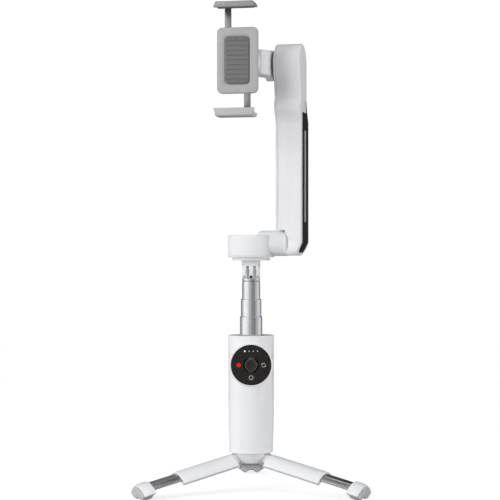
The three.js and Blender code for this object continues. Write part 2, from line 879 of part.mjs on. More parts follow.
function rollStator() {
  const from = roll.canFrontY + 0.5;
  const to = roll.pocketBackY - GAP;
  return ring(roll.statorBore, roll.statorRadius, from, to, MEDIUM, 'y', [0, 0, tilt.axisZ]);
}

function rollRotor() {
  const faceBack = roll.canFrontY - GAP;
  const profile = [
    [0, roll.rotorFrontY],
    [roll.rotorRadius, roll.rotorFrontY],
    [roll.rotorRadius, faceBack],
    [roll.shaftRadius, faceBack],
    [roll.shaftRadius, roll.pocketBackY - 2],
    [0, roll.pocketBackY - 2],
  ];
  return turned(profile, MEDIUM, 'y', [0, 0, tilt.axisZ]);
}

// ---------------------------------------------------------------------------------------------
// Phone clamp, drawn round its own centre
// ---------------------------------------------------------------------------------------------

function clampPlate() {
  const plate = round(roll.plateRadius, roll.plateFrontY, roll.rotorFrontY - GAP, MEDIUM, 'y');
  return cut(plate, round(spring.pocketRadius, roll.plateFrontY - OVER, spring.pocketY, MEDIUM, 'y'));
}

function clampBody() {
  const { halfWidth, halfHeight, corner, slotHalf } = clamp;
  const slab = prism(
    roundedRect(-halfWidth, halfWidth, -halfHeight, halfHeight, corner), 'y', clamp.frontY, clamp.backY, 3,
  );
  const slot = block(
    -slotHalf, slotHalf, clamp.slotFrontY, clamp.slotBackY, -halfHeight - OVER, halfHeight + OVER,
  );
  const shaftHole = round(gearShaft.radius + GAP, clamp.slotBackY - OVER, clamp.backY + OVER, SMALL, 'y');
  return cut(slab, slot, shaftHole);
}

function clampPad() {
  const { padHalfWidth, padHalfHeight } = clamp;
  return prism(
    roundedRect(-padHalfWidth, padHalfWidth, -padHalfHeight, padHalfHeight, 3),
    'y', clamp.padFrontY, clamp.frontY - GAP, 3,
  );
}

const stemLayer = [clamp.slotFrontY + GAP, clamp.slotBackY - GAP];

// The rack's teeth stand on the stem's inner edge, half a pitch to either side of the gear's centre.
function rackTeeth() {
  const pitch = (2 * Math.PI * gear.pitchRadius) / gear.teeth;
  const teeth = [];
  for (let k = -4; k < 5; k += 1) {
    const middle = (k + 0.5) * pitch;
    const tooth = outline([
      [-jaw.stemIn - 0.1, middle - gear.baseHalf],
      [-gear.rackTip, middle - gear.tipHalf],
      [-gear.rackTip, middle + gear.tipHalf],
      [-jaw.stemIn - 0.1, middle + gear.baseHalf],
    ]);
    teeth.push(prism(tooth, 'y', ...stemLayer));
  }
  return joined(...teeth);
}

// The upper jaw: a hook over the phone's edge on a stem that slides in the clamp body. Its ends lean in.
function jawHook(lipIn) {
  const { halfWidth, outerHalfWidth, frontY, rearY, lipBackY, plateIn, plateOut, corner } = jaw;
  const hook = prism(
    outline([
      [rearY, plateIn],
      [lipBackY, plateIn],
      [lipBackY, lipIn],
      [frontY, lipIn],
      [frontY, plateOut - corner],
      [frontY + corner, plateOut],
      [rearY, plateOut],
    ]),
    'x', -halfWidth, halfWidth,
  );
  const front = prism(
    outline([[-halfWidth, lipIn], [halfWidth, lipIn], [outerHalfWidth, plateOut], [-outerHalfWidth, plateOut]]),
    'y', frontY - OVER, rearY + OVER,
  );
  const stem = block(-jaw.stemOut, -jaw.stemIn, ...stemLayer, jaw.stemEnd, plateIn + 0.5);
  return joined(hook.intersect(front), stem, rackTeeth());
}

function jawPad() {
  const half = jaw.padHalfWidth;
  return block(-half, half, jaw.lipBackY + GAP, clamp.padFrontY - GAP, jaw.padIn, jaw.plateIn - GAP);
}

function pinion() {
  const step = (2 * Math.PI) / gear.teeth;
  const points = [];
  for (let i = 0; i < gear.teeth; i += 1) {
    const corners = [
      [gear.root, -gear.baseHalf / gear.root],
      [gear.tip, -gear.tipHalf / gear.tip],
      [gear.tip, gear.tipHalf / gear.tip],
      [gear.root, gear.baseHalf / gear.root],
    ];
    corners.forEach(([r, a]) => points.push([r * Math.cos(i * step + a), r * Math.sin(i * step + a)]));
  }
  const wheel = prism(outline(points), 'y', ...stemLayer);
  return joined(wheel, round(gearShaft.radius, stemLayer[0], gearShaft.endY, SMALL, 'y'));
}

function pinionSpring() {
  const steps = 14 * spring.turns;
  const radiusAt = (t) => spring.inner + (spring.outer - spring.strip - spring.inner) * t;
  const along = (t, extra) => {
    const angle = 2 * Math.PI * spring.turns * t;
    return [(radiusAt(t) + extra) * Math.cos(angle), (radiusAt(t) + extra) * Math.sin(angle)];
  };
  const inside = [];
  const outside = [];
  for (let i = 0; i <= steps; i += 1) {
    inside.push(along(i / steps, 0));
    outside.unshift(along(i / steps, spring.strip));
  }
  return prism(outline([...inside, ...outside]), 'y', roll.plateFrontY + GAP, spring.pocketY - GAP);
}

function buildClamp() {
  const group = new THREE.Group();
  group.position.z = tilt.axisZ;
  const lowerSide = new THREE.Group();
  lowerSide.rotation.y = Math.PI;
  lowerSide.add(
    piece('lower_jaw', jawHook(jaw.lowerLipIn), greyPlastic),
    piece('lower_jaw_pad', jawPad(), greyRubber),
  );
  group.add(
    piece('clamp_plate', clampPlate(), satinMetal),
    piece('clamp_body', clampBody(), greyPlastic),
    piece('clamp_pad', clampPad(), greyRubber),
    piece('clamp_pinion', pinion(), greyPlastic),
    piece('pinion_spring', pinionSpring(), polishedMetal),
    piece('upper_jaw', jawHook(jaw.upperLipIn), greyPlastic),
    piece('upper_jaw_pad', jawPad(), greyRubber),
    lowerSide,
  );
  return group;
}

function buildHead() {
  const group = new THREE.Group();
  group.rotation.z = radians(layout.headTurn);
  group.add(
    piece('pan_housing', panHousing(), whitePlastic),
    piece('pan_cap', panCap(), whitePlastic),
    piece('fold_shaft', foldShaftPin(), satinMetal),
    piece('arm_shell', armShell(), whitePlastic),
    piece('arm_inner_cover', armInnerCover(), whitePlastic),
    piece('arm_inlay', armInlay(), blackPlastic),
    piece('arm_trim_strip', armTrim(), polishedMetal),
    piece('battery_pack', batteryPack(), wrap),
    piece('tilt_stator', tiltStator(), copper),
    piece('tilt_rotor', tiltRotor(), satinMetal),
    piece('tilt_bracket', tiltBracket(), whitePlastic),
    piece('roll_stator', rollStator(), copper),
    piece('roll_rotor', rollRotor(), satinMetal),
    buildClamp(),
  );
  return group;
}

// ---------------------------------------------------------------------------------------------
// Tripod: hub and three legs
// ---------------------------------------------------------------------------------------------

// A leg is drawn folded, hanging along the hub's axis: s is the distance below its hinge.
const atS = (s) => leg.pivotZ - s;
const legCentre = [leg.pivotRadius, 0, leg.pivotZ];

function legSleeve() {
  const wall = sector(leg.inner, leg.outer, leg.half, atS(leg.sleeveEnd), atS(leg.sleeveStart));
  const channel = sector(
    leg.channelInner, leg.channelOuter, leg.channelHalf, atS(leg.sleeveEnd + OVER), atS(leg.channelStart),
  );
  const knuckle = round(leg.tongueRadius, -leg.tongueHalf, leg.tongueHalf, SMALL, 'y', legCentre);
  const tongue = block(
    leg.pivotRadius - leg.tongueRadius, leg.pivotRadius + leg.tongueRadius, -leg.tongueHalf, leg.tongueHalf,
    atS(leg.channelStart), leg.pivotZ,
  );
  const eye = round(leg.pinRadius + GAP, -leg.tongueHalf - OVER, leg.tongueHalf + OVER, SMALL, 'y', legCentre);
  return cut(joined(cut(wall, channel), knuckle, tongue), eye);
}

function legBar() {
  const bar = sector(leg.barInner, leg.barOuter, leg.barHalf, atS(leg.barEnd), atS(leg.barStart), 8);
  const grooveFloor = leg.barOuter - leg.grooveDepth;
  const grooves = [-leg.grooveY, leg.grooveY].map((y) =>
    block(
      grooveFloor * Math.cos(Math.asin(y / grooveFloor)), leg.barOuter + OVER,
      y - leg.grooveHalf, y + leg.grooveHalf, atS(leg.grooveEnd), atS(leg.grooveStart),
    ),
  );
  return cut(bar, ...grooves);
}

// Everything below a height above the ground, seen from the folded leg.
function ground(height) {
  const size = 300;
  const geometry = new THREE.BoxGeometry(size, size, size);
  geometry.translate(0, 0, height - size / 2);
  geometry.translate(-leg.pivotRadius, 0, -leg.pivotZ);
  geometry.rotateY(radians(leg.openTurn));
  geometry.translate(leg.pivotRadius, 0, leg.pivotZ);
  return solidFrom(geometry);
}

function legFoot() {
  const slice = sector(leg.footInner, leg.outer, leg.footHalf, atS(leg.footEnd), atS(leg.footStart));
  const dome = turned(
    [
      [0, atS(leg.footEnd)],
      [leg.domeRadius, atS(leg.footEnd)],
      [leg.domeRadius + 2, atS(leg.footEnd - 1.8)],
      [leg.outer - 0.4, atS((leg.footEnd + leg.domeStart) / 2)],
      [leg.outer, atS(leg.domeStart)],
      [leg.outer, atS(leg.footStart - OVER)],
      [0, atS(leg.footStart - OVER)],
    ],
    ROUND,
  );
  const socket = sector(
    leg.footInner - OVER, leg.barOuter + GAP, leg.barHalf + 2, atS(leg.barEnd + GAP), atS(leg.footStart - OVER),
  );
  return cut(slice.intersect(dome), socket, ground(leg.footClearance));
}

function legSole() {
  const slice = sector(leg.soleInner, leg.soleOuter, leg.footHalf, atS(leg.soleEnd), atS(leg.soleStart));
  return cut(slice, ground(0));
}

function buildLeg(side) {
  const group = new THREE.Group();
  group.rotation.z = radians(leg.azimuths[side]);
  const hinge = new THREE.Group();
  hinge.position.set(...legCentre);
  hinge.rotation.y = radians(-leg.openTurn);
  const folded = new THREE.Group();
  folded.position.set(-leg.pivotRadius, 0, -leg.pivotZ);
  folded.add(
    piece(`leg_sleeve_${side}`, legSleeve(), whitePlastic),
    piece(`leg_bar_${side}`, legBar(), satinMetal),
    piece(`leg_foot_${side}`, legFoot(), whitePlastic),
    piece(`leg_sole_${side}`, legSole(), lightRubber),
  );
  hinge.add(folded);
  group.add(hinge, piece(`leg_pin_${side}`, legPin(), polishedMetal));
  return group;
}

const legPin = () => round(leg.pinRadius, -leg.pinHalf, leg.pinHalf, SMALL, 'y', legCentre);

function tripodHub() {
  const body = turned(
    [
      [hub.bore, hub.bottomZ],
      [hub.bottomRadius, hub.bottomZ],
      [hub.radius, hub.taperZ],
      [hub.radius, hub.topZ],
      [hub.bore, hub.topZ],
    ],
    ROUND,
  );
  const slots = Object.values(leg.azimuths).map((azimuth) => {
    const slot = new THREE.BoxGeometry(20, 2 * hub.slotHalf, 20);
    slot.translate(hub.slotStart + 10, 0, leg.pivotZ + leg.tongueRadius + 2 * GAP - 10);
    slot.rotateZ(radians(azimuth));
    return solidFrom(slot);
  });
  const pinHoles = Object.values(leg.azimuths).map((azimuth) => {
    const hole = new THREE.CylinderGeometry(leg.pinRadius + GAP, leg.pinRadius + GAP, 2 * (leg.pinHalf + GAP), SMALL);
    hole.translate(...legCentre);
    hole.rotateZ(radians(azimuth));
    return solidFrom(hole);
  });
  return cut(body, ...slots, ...pinHoles);
}

function buildTripod() {
  const group = new THREE.Group();
  group.add(
    piece('tripod_hub', tripodHub(), whitePlastic),
    piece('thread_insert', ring(insert.bore, insert.radius, insert.bottomZ, insert.topZ, MEDIUM), brass),
    ...Object.keys(leg.azimuths).map(buildLeg),
  );
  return group;
}

// ---------------------------------------------------------------------------------------------
// The whole stabilizer
// ---------------------------------------------------------------------------------------------

const gimbal = new THREE.Group();
gimbal.position.y = layout.axisY;
gimbal.add(buildHandle(), buildRodAndNeck(), buildHead(), buildTripod());

export default gimbal;
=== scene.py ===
"""The looks of a phone gimbal stabilizer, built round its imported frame.

Every piece is drawn in millimetres in one of three places: round the handle's axis (BASE), in the turned
head (HEAD) or along a folded leg (LEG). Sizes that the frame holds are read from it with extents().
"""

import json
import math

import bmesh
import bpy
from mathutils import Matrix, Vector


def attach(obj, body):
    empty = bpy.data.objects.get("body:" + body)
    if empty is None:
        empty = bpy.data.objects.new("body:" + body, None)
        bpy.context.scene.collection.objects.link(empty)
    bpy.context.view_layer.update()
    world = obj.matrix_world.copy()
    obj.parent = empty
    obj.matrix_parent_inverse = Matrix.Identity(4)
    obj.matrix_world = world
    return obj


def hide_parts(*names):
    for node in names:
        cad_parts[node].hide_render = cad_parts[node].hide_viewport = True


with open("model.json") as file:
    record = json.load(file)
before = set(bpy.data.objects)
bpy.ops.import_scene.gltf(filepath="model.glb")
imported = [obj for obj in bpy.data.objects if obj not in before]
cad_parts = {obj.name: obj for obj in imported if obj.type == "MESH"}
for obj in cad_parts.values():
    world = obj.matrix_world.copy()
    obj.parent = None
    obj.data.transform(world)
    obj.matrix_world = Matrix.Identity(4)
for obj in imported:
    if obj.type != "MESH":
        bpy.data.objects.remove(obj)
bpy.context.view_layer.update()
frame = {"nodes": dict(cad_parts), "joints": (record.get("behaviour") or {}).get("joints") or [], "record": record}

MM = 0.001
SMOOTH_SIDES = 128  # facets round the handle and the tubes
SMALL_SIDES = 48  # facets round pins and small parts
SHARP = math.radians(32)  # edges sharper than this stay sharp in the shading

# --------------------------------------------------------------------------------------------------
# Places, taken from the frame
# --------------------------------------------------------------------------------------------------

joints = {joint["name"]: joint for joint in frame["joints"]}


def joint_point(name):
    return Vector(joints[name]["pos_m"]) / MM


axis_y = joint_point("pan_turn").y
tilt_axis = joints["tilt_turn"]["axis"]
BASE = Matrix.Translation((0, axis_y, 0))
HEAD = BASE @ Matrix.Rotation(math.atan2(tilt_axis[1], tilt_axis[0]), 4, "Z")
SIDES = ("left", "right", "rear")


def leg_place(side):
    """A folded leg hangs along Z with its outside towards +X; this turns it to where it stands."""
    hinge_axis = joints[f"leg_fold_{side}"]["axis"]
    slide_axis = joints[f"leg_slide_{side}"]["axis"]
    azimuth = math.atan2(-hinge_axis[0], hinge_axis[1])
    open_turn = math.pi / 2 + math.asin(slide_axis[2])
    around = BASE @ Matrix.Rotation(azimuth, 4, "Z")
    pivot = Matrix.Translation(around.inverted() @ joint_point(f"leg_fold_{side}"))
    return around @ pivot @ Matrix.Rotation(-open_turn, 4, "Y") @ pivot.inverted()


def extents(node, place):
    """The lowest and highest corner of a CAD node in millimetres, seen from a place."""
    inverse = place.inverted()
    points = [inverse @ (vertex.co / MM) for vertex in frame["nodes"][node].data.vertices]
    return Vector(map(min, zip(*points))), Vector(map(max, zip(*points)))


# --------------------------------------------------------------------------------------------------
# Mesh tools
# --------------------------------------------------------------------------------------------------

TURN = {
    "x": Matrix(((0, 0, 1, 0), (1, 0, 0, 0), (0, 1, 0, 0), (0, 0, 0, 1))),
    "y": Matrix(((1, 0, 0, 0), (0, 0, 1, 0), (0, 1, 0, 0), (0, 0, 0, 1))),
    "z": Matrix.Identity(4),
}


def rounded(corners, step=10):
    """An outline in which every corner (a, b, radius) is an arc; a corner (a, b) stays sharp."""
    points = []
    for index, corner in enumerate(corners):
        here = Vector(corner[:2])
        if len(corner) < 3 or corner[2] == 0:
            points.append(here)
            continue
        before = (Vector(corners[index - 1][:2]) - here).normalized()
        after = (Vector(corners[(index + 1) % len(corners)][:2]) - here).normalized()
        half = before.angle(after) / 2
        centre = here + (before + after).normalized() * corner[2] / math.sin(half)
        arm = here + before * corner[2] / math.tan(half) - centre
        sweep = math.copysign(math.pi - 2 * half, before.y * after.x - before.x * after.y)
        steps = max(2, math.ceil(abs(math.degrees(sweep)) / step))
        for k in range(steps + 1):
            turn = Matrix.Rotation(sweep * k / steps, 2)
            points.append(centre + turn @ arm)
    return points


def arc(centre, radius, start, end, steps=24):
    """Points along a circle, from one angle to another in degrees."""
    angles = [math.radians(start + (end - start) * k / steps) for k in range(steps + 1)]
    return [(centre[0] + radius * math.cos(a), centre[1] + radius * math.sin(a)) for a in angles]


def lathe(profile, sides=SMOOTH_SIDES, axis="z", centre=(0, 0, 0)):
    """A solid of revolution; the profile lists (radius, place along the axis)."""
    solid = bmesh.new()
    rings = []
    for radius, along in (tuple(point)[:2] for point in profile):
        if radius < 1e-6:
            rings.append([solid.verts.new((0, 0, along))])
            continue
        angles = (2 * math.pi * k / sides for k in range(sides))
        rings.append([solid.verts.new((radius * math.cos(a), radius * math.sin(a), along)) for a in angles])
    on_axis = len(rings[0]) == 1 and len(rings[-1]) == 1
    for index in range(len(rings) - on_axis):
        low, high = rings[index], rings[(index + 1) % len(rings)]
        for k in range(sides):
            corners = [low[k % len(low)], low[(k + 1) % len(low)], high[(k + 1) % len(high)], high[k % len(high)]]
            distinct = list(dict.fromkeys(corners))
            if len(distinct) > 2:
                solid.faces.new(distinct)
    return finished(solid, Matrix.Translation(centre) @ TURN[axis])


def prism(outline, axis, start, end):
    """An extruded outline, drawn in (y, z) for axis x, in (x, z) for axis y and in (x, y) for axis z."""
    solid = bmesh.new()
    low = [solid.verts.new((point[0], point[1], start)) for point in outline]
    high = [solid.verts.new((point[0], point[1], end)) for point in outline]
    solid.faces.new(low)
    solid.faces.new(high)
    for index in range(len(low)):
        following = (index + 1) % len(low)
        solid.faces.new((low[index], low[following], high[following], high[index]))
    return finished(solid, TURN[axis])


def finished(solid, turn):
    bmesh.ops.transform(solid, matrix=turn, verts=solid.verts)
    bmesh.ops.recalc_face_normals(solid, faces=solid.faces)
    return solid


def moved(solid, matrix):
    bmesh.ops.transform(solid, matrix=matrix, verts=solid.verts)
    return solid


def slab(x0, x1, y0, y1, z0, z1):
    """A cutting block between two corners."""
    return prism([(x0, y0), (x1, y0), (x1, y1), (x0, y1)], "z", z0, z1)


def rectangle(x0, x1, y0, y1, radius=0.0):
    return rounded([(x0, y0, radius), (x1, y0, radius), (x1, y1, radius), (x0, y1, radius)])


def disc(radius, start, end, axis="z", centre=(0, 0, 0), edge=0.0, sides=SMALL_SIDES):
    """A round plate or pin with rounded rims."""
    profile = rounded([(0, start), (radius, start, edge), (radius, end, edge), (0, end)], 15)
    return lathe(profile, sides, axis, centre)


def hoop(inner, outer, start, end, axis="z", centre=(0, 0, 0), edge=0.0, sides=SMOOTH_SIDES):
    """A ring of square section with rounded rims."""
    corners = [(inner, start, edge), (outer, start, edge), (outer, end, edge), (inner, end, edge)]
    return lathe(rounded(corners, 15), sides, axis, centre)


def as_object(solid):
    mesh = bpy.data.meshes.new("solid")
    solid.to_mesh(mesh)
    solid.free()
    shape = bpy.data.objects.new("solid", mesh)
    bpy.context.collection.objects.link(shape)
    return shape


def combine(solid, operation, *tools):
    """The solid after each tool is joined to it (UNION), cut from it (DIFFERENCE) or overlaid (INTERSECT)."""
    for tool in tools:
        base = as_object(solid)
        other = as_object(tool)
        modifier = base.modifiers.new("combine", "BOOLEAN")
        modifier.object = other
        modifier.operation = operation
        modifier.solver = "EXACT"
        solid = bmesh.new()
        solid.from_object(base, bpy.context.evaluated_depsgraph_get())
        for shape in (base, other):
            mesh = shape.data
            bpy.data.objects.remove(shape)
            bpy.data.meshes.remove(mesh)
    bmesh.ops.remove_doubles(solid, verts=solid.verts, dist=1e-4)
    bmesh.ops.dissolve_degenerate(solid, dist=1e-4, edges=solid.edges)
    return solid


def soften(solid, width, segments=3, where=lambda edge: True):
    """Rounds the sharp edges of a solid, or those of them that a test picks."""
    edges = [
        edge for edge in solid.edges
        if edge.is_manifold and edge.calc_face_angle(0) > SHARP and where(edge)
    ]
    bmesh.ops.bevel(
        solid, geom=edges, offset=width, offset_type="OFFSET", segments=segments, profile=0.5,
        affect="EDGES", clamp_overlap=True,
    )
    return solid


def show(name, solid, place, body, look, *nodes):
    """Makes the solid a smooth-shaded piece that rides on a body and stands for CAD nodes."""
    mesh = bpy.data.meshes.new(name)
    bmesh.ops.recalc_face_normals(solid, faces=solid.faces)
    solid.to_mesh(mesh)
    solid.free()
    mesh.transform(Matrix.Scale(MM, 4) @ place)
    mesh.shade_smooth()
    mesh.set_sharp_from_angle(angle=SHARP)
    mesh.materials.append(look)
    piece = bpy.data.objects.new(name, mesh)
    bpy.context.collection.objects.link(piece)
    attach(piece, body)
    if nodes:
        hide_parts(*nodes)
    return piece


# --------------------------------------------------------------------------------------------------
# Materials
# --------------------------------------------------------------------------------------------------


class Look:
    """A node material round one Principled shader, fed by object coordinates in metres."""

    def __init__(self, name, slot, colour, roughness, metallic=0.0):
        self.material = bpy.data.materials.new(name)
        self.material.use_nodes = True
        self.material["slot"] = slot
        self.nodes = self.material.node_tree.nodes
        self.links = self.material.node_tree.links
        self.shader = self.nodes["Principled BSDF"]
        self.shader.inputs["Metallic"].default_value = metallic
        self.place = self.nodes.new("ShaderNodeTexCoord").outputs["Object"]
        self.colour = colour
        self.roughness = roughness
        self.height = None

    def noise(self, scale, detail=2.0, stretch=(1, 1, 1)):
        mapping = self.nodes.new("ShaderNodeMapping")
        mapping.inputs["Scale"].default_value = stretch
        texture = self.nodes.new("ShaderNodeTexNoise")
        texture.inputs["Scale"].default_value = scale
        texture.inputs["Detail"].default_value = detail
        self.links.new(self.place, mapping.inputs["Vector"])
        self.links.new(mapping.outputs["Vector"], texture.inputs["Vector"])
        return texture.outputs["Fac"]

    def ranged(self, value, low, high):
        """Maps a noise value to a range."""
        node = self.nodes.new("ShaderNodeMapRange")
        node.inputs["From Min"].default_value = 0.3
        node.inputs["From Max"].default_value = 0.7
        node.inputs["To Min"].default_value = low
        node.inputs["To Max"].default_value = high
        self.links.new(value, node.inputs["Value"])
        return node.outputs["Result"]

    def vary_colour(self, value, spread, edge_light=0.0):
        """Mottles the colour by a share either way, and lightens the colour along sharp convex edges."""
        mix = self.nodes.new("ShaderNodeMix")
        mix.data_type = "RGBA"
        mix.inputs["A"].default_value = (*(c * (1 - spread) for c in self.colour), 1)
        mix.inputs["B"].default_value = (*(min(1, c * (1 + spread)) for c in self.colour), 1)
        self.links.new(self.ranged(value, 0, 1), mix.inputs["Factor"])
        result = mix.outputs["Result"]
        if edge_light:
            edge_mix = self.nodes.new("ShaderNodeMix")
            edge_mix.data_type = "RGBA"
            edge_mix.inputs["B"].default_value = (*(min(1, c + edge_light) for c in self.colour), 1)
            edge = self.nodes.new("ShaderNodeMapRange")
            edge.inputs["From Min"].default_value = 0.53
            edge.inputs["From Max"].default_value = 0.6
            geometry = self.nodes.new("ShaderNodeNewGeometry")
            self.links.new(geometry.outputs["Pointiness"], edge.inputs["Value"])
            self.links.new(edge.outputs["Result"], edge_mix.inputs["Factor"])
            self.links.new(result, edge_mix.inputs["A"])
            result = edge_mix.outputs["Result"]
        self.links.new(result, self.shader.inputs["Base Color"])
        return self

    def vary_roughness(self, value, spread):
        low, high = self.roughness - spread, self.roughness + spread
        self.links.new(self.ranged(value, low, high), self.shader.inputs["Roughness"])
        return self

    def bump(self, value, depth_mm, strength=1.0):
        node = self.nodes.new("ShaderNodeBump")
        node.inputs["Distance"].default_value = depth_mm * MM
        node.inputs["Strength"].default_value = strength
        self.links.new(value, node.inputs["Height"])
        if self.height:
            self.links.new(self.height, node.inputs["Normal"])
        self.height = node.outputs["Normal"]
        self.links.new(self.height, self.shader.inputs["Normal"])
        return self


def white_plastic(name="white_plastic", colour=(0.84, 0.845, 0.865)):
    """Moulded plastic with a fine satin grain."""
    look = Look(name, "white_body", colour, 0.4)
    look.vary_colour(look.noise(60, 3), 0.012, edge_light=0.04)
    look.vary_roughness(look.noise(900, 4), 0.05)
    look.bump(look.noise(5200, 2), 0.006, 0.5).bump(look.noise(90, 2), 0.02, 0.25)
    look.shader.inputs["Coat Weight"].default_value = 0.08
    look.shader.inputs["Coat Roughness"].default_value = 0.3
    return look.material


def black_glass(name, shine, coat):
    """Glossy black panel with a trace of handling."""
    look = Look(name, "black_gloss", (0.02, 0.018, 0.017), 0.16)
    look.vary_colour(look.noise(300, 3), 0.15)
    look.vary_roughness(look.noise(220, 5), 0.06)
    look.bump(look.noise(1500, 2), 0.002, 0.2)
    look.shader.inputs["Specular IOR Level"].default_value = shine
    look.shader.inputs["Coat Weight"].default_value = coat
    look.shader.inputs["Coat Roughness"].default_value = 0.05
    return look.material


def black_satin():
    look = Look("black_satin", "black_gloss", (0.015, 0.014, 0.013), 0.45)
    look.vary_colour(look.noise(600, 3), 0.2, edge_light=0.03)
    look.vary_roughness(look.noise(1200, 3), 0.08)
    look.bump(look.noise(6000, 2), 0.01, 0.5)
    return look.material


def polished_metal(name, colour, roughness):
    """Polished metal with faint drawing lines along its length."""
    look = Look(name, "polished_metal", colour, roughness, 1.0)
    lines = look.noise(2200, 3, (1, 1, 0.01))
    look.vary_colour(look.noise(160, 2), 0.03)
    look.vary_roughness(lines, 0.04)
    look.bump(lines, 0.002, 0.35)
    return look.material


def satin_metal(name="satin_metal", colour=(0.4, 0.4, 0.385), roughness=0.34, lines_along=(1, 1, 0.02)):
    """Brushed or blasted metal."""
    look = Look(name, "satin_metal", colour, roughness, 1.0)
    lines = look.noise(2600, 4, lines_along)
    look.vary_colour(lines, 0.08, edge_light=0.12)
    look.vary_roughness(look.noise(700, 3), 0.07)
    look.bump(lines, 0.005, 0.4)
    return look.material


def grey_plastic(name, colour):
    look = Look(name, "grey_plastic", colour, 0.42)
    look.vary_colour(look.noise(150, 3), 0.03, edge_light=0.06)
    look.vary_roughness(look.noise(900, 3), 0.06)
    look.bump(look.noise(4200, 2), 0.008, 0.6)
    return look.material


def rubber(name, slot, colour):
    """Dull moulded rubber with a pebbled skin."""
    look = Look(name, slot, colour, 0.78)
    look.vary_colour(look.noise(400, 4), 0.15, edge_light=0.02)
    look.vary_roughness(look.noise(700, 3), 0.08)
    look.bump(look.noise(3000, 3), 0.03, 0.7)
    return look.material


def painted_mark(name, colour, glow=0.0):
    """A printed or lit mark on the touch disc."""
    look = Look(name, "black_gloss", colour, 0.5)
    look.vary_colour(look.noise(3000, 2), 0.06)
    look.vary_roughness(look.noise(2000, 2), 0.05)
    look.shader.inputs["Specular IOR Level"].default_value = 0.1
    look.shader.inputs["Emission Color"].default_value = (*colour, 1)
    look.shader.inputs["Emission Strength"].default_value = glow
    return look.material


def plain_detail(name, slot, colour, roughness, metallic, scale):
    """The finish of a piece inside: windings, a circuit board, a battery wrap or a thread."""
    look = Look(name, slot, colour, roughness, metallic)
    look.vary_colour(look.noise(scale, 4), 0.18, edge_light=0.05)
    look.vary_roughness(look.noise(scale, 3), 0.1)
    look.bump(look.noise(scale * 2, 3), 0.02, 0.5)
    return look.material


WHITE = white_plastic()
BLACK_GLASS = black_glass("black_glass", 0.1, 0.0)
BLACK_PANEL = black_glass("black_panel", 0.2, 0.0)
BLACK_SATIN = black_satin()
POLISHED = polished_metal("polished_metal", (0.8, 0.81, 0.84), 0.1)
BRIGHT = polished_metal("bright_metal", (0.92, 0.92, 0.93), 0.5)
SATIN = satin_metal()
DARK_SATIN = satin_metal("dark_satin", (0.5, 0.5, 0.495), 0.3)
GREY = grey_plastic("grey_plastic", (0.45, 0.45, 0.455))
# A darker copy of the grey plastic: painted shade for the upper jaw's face
SHADED_GREY = grey_plastic("grey_plastic_shaded", (0.26, 0.26, 0.265))
LIGHT_RUBBER = rubber("light_rubber", "light_rubber", (0.5, 0.505, 0.53))
GREY_RUBBER = rubber("grey_rubber", "grey_rubber", (0.16, 0.16, 0.165))
MARK_WHITE = painted_mark("mark_white", (0.75, 0.75, 0.75))
# The printed red record mark is no lamp; its glow of 0.4 is painted light
MARK_RED_GLOW = painted_mark("mark_red_glow", (0.85, 0.002, 0.002), 0.4)
LAMP_ON = painted_mark("lamp_on", (0.95, 0.97, 1.0), 1.2)
LAMP_DIM = painted_mark("lamp_dim", (0.5, 0.5, 0.5), 0.1)
INSIDE = {
    "brass_thread": plain_detail("brass_thread", "brass_thread", (0.6, 0.48, 0.22), 0.35, 1, 900),
    "motor_winding": plain_detail("motor_winding", "motor_winding", (0.5, 0.22, 0.1), 0.4, 1, 2500),
    "circuit_board": plain_detail("circuit_board", "circuit_board", (0.02, 0.13, 0.06), 0.5, 0, 700),
    "battery_wrap": plain_detail("battery_wrap", "battery_wrap", (0.05, 0.1, 0.35), 0.45, 0, 300),
    "white_body": WHITE,
    "black_gloss": BLACK_SATIN,
    "polished_metal": POLISHED,
    "satin_metal": SATIN,
    "grey_plastic": GREY,
    "light_rubber": LIGHT_RUBBER,
    "grey_rubber": GREY_RUBBER,
}


def dress_frame():
    """Gives every CAD node that stays the finish of its material slot."""
    for row in frame["record"]["subparts"]:
        mesh = frame["nodes"][row["node"]].data
        mesh.materials.clear()
        mesh.materials.append(INSIDE[row["material_slot"]])


# --------------------------------------------------------------------------------------------------
# Handle
# --------------------------------------------------------------------------------------------------

WALL = 1.8


def handle_tube(low, high, bottom_radius):
    radius = high.x
    cap_room = extents("handle_top_cap", BASE)[1].x + 0.1
    taper_end = low.z + (high.z - low.z) * 0.3
    return lathe(
        rounded([
            (bottom_radius - WALL, low.z), (bottom_radius, low.z, 0.15), (radius, taper_end, 60),
            (radius, high.z, 0.5), (cap_room, high.z, 0.15), (cap_room, high.z - 2.5), (radius - WALL, high.z - 2.5),
            (radius - WALL, taper_end),
        ], 6)
    )


def port_cutter():
    low, high = extents("charging_port", BASE)
    return prism(
        rectangle(low.y - 0.3, high.y + 0.3, low.z - 0.3, high.z + 0.3, (high.z - low.z) / 2), "x", low.x - 5, high.x,
    )


def front_shell(bottom_radius):
    low, high = extents("handle_front_shell", BASE)
    disc_low, disc_high = extents("touch_disc", BASE)
    centre = (0, 0, (disc_low.z + disc_high.z) / 2)
    disc_radius = (disc_high.z - disc_low.z) / 2
    boss = lathe(
        rounded([(0, low.y), (disc_radius + 1.5, low.y, 0.7), (disc_radius + 1.9, 0), (0, 0)], 12),
        SMOOTH_SIDES, "y", centre,
    )
    core = disc(high.x - WALL, low.z - 5, high.z + 5, sides=SMOOTH_SIDES)
    shell = combine(handle_tube(low, high, bottom_radius), "UNION", combine(boss, "DIFFERENCE", core))
    pocket = disc(disc_radius + 0.3, low.y - 5, disc_high.y + 0.7, "y", centre, sides=SMOOTH_SIDES)
    well = disc(6.6, low.y - 5, 0, "y", centre)
    back_half = slab(-40, 40, -0.12, 40, 0, high.z + 10)
    shell = combine(shell, "DIFFERENCE", pocket, well, back_half, port_cutter())
    return soften(shell, 0.3, 3)


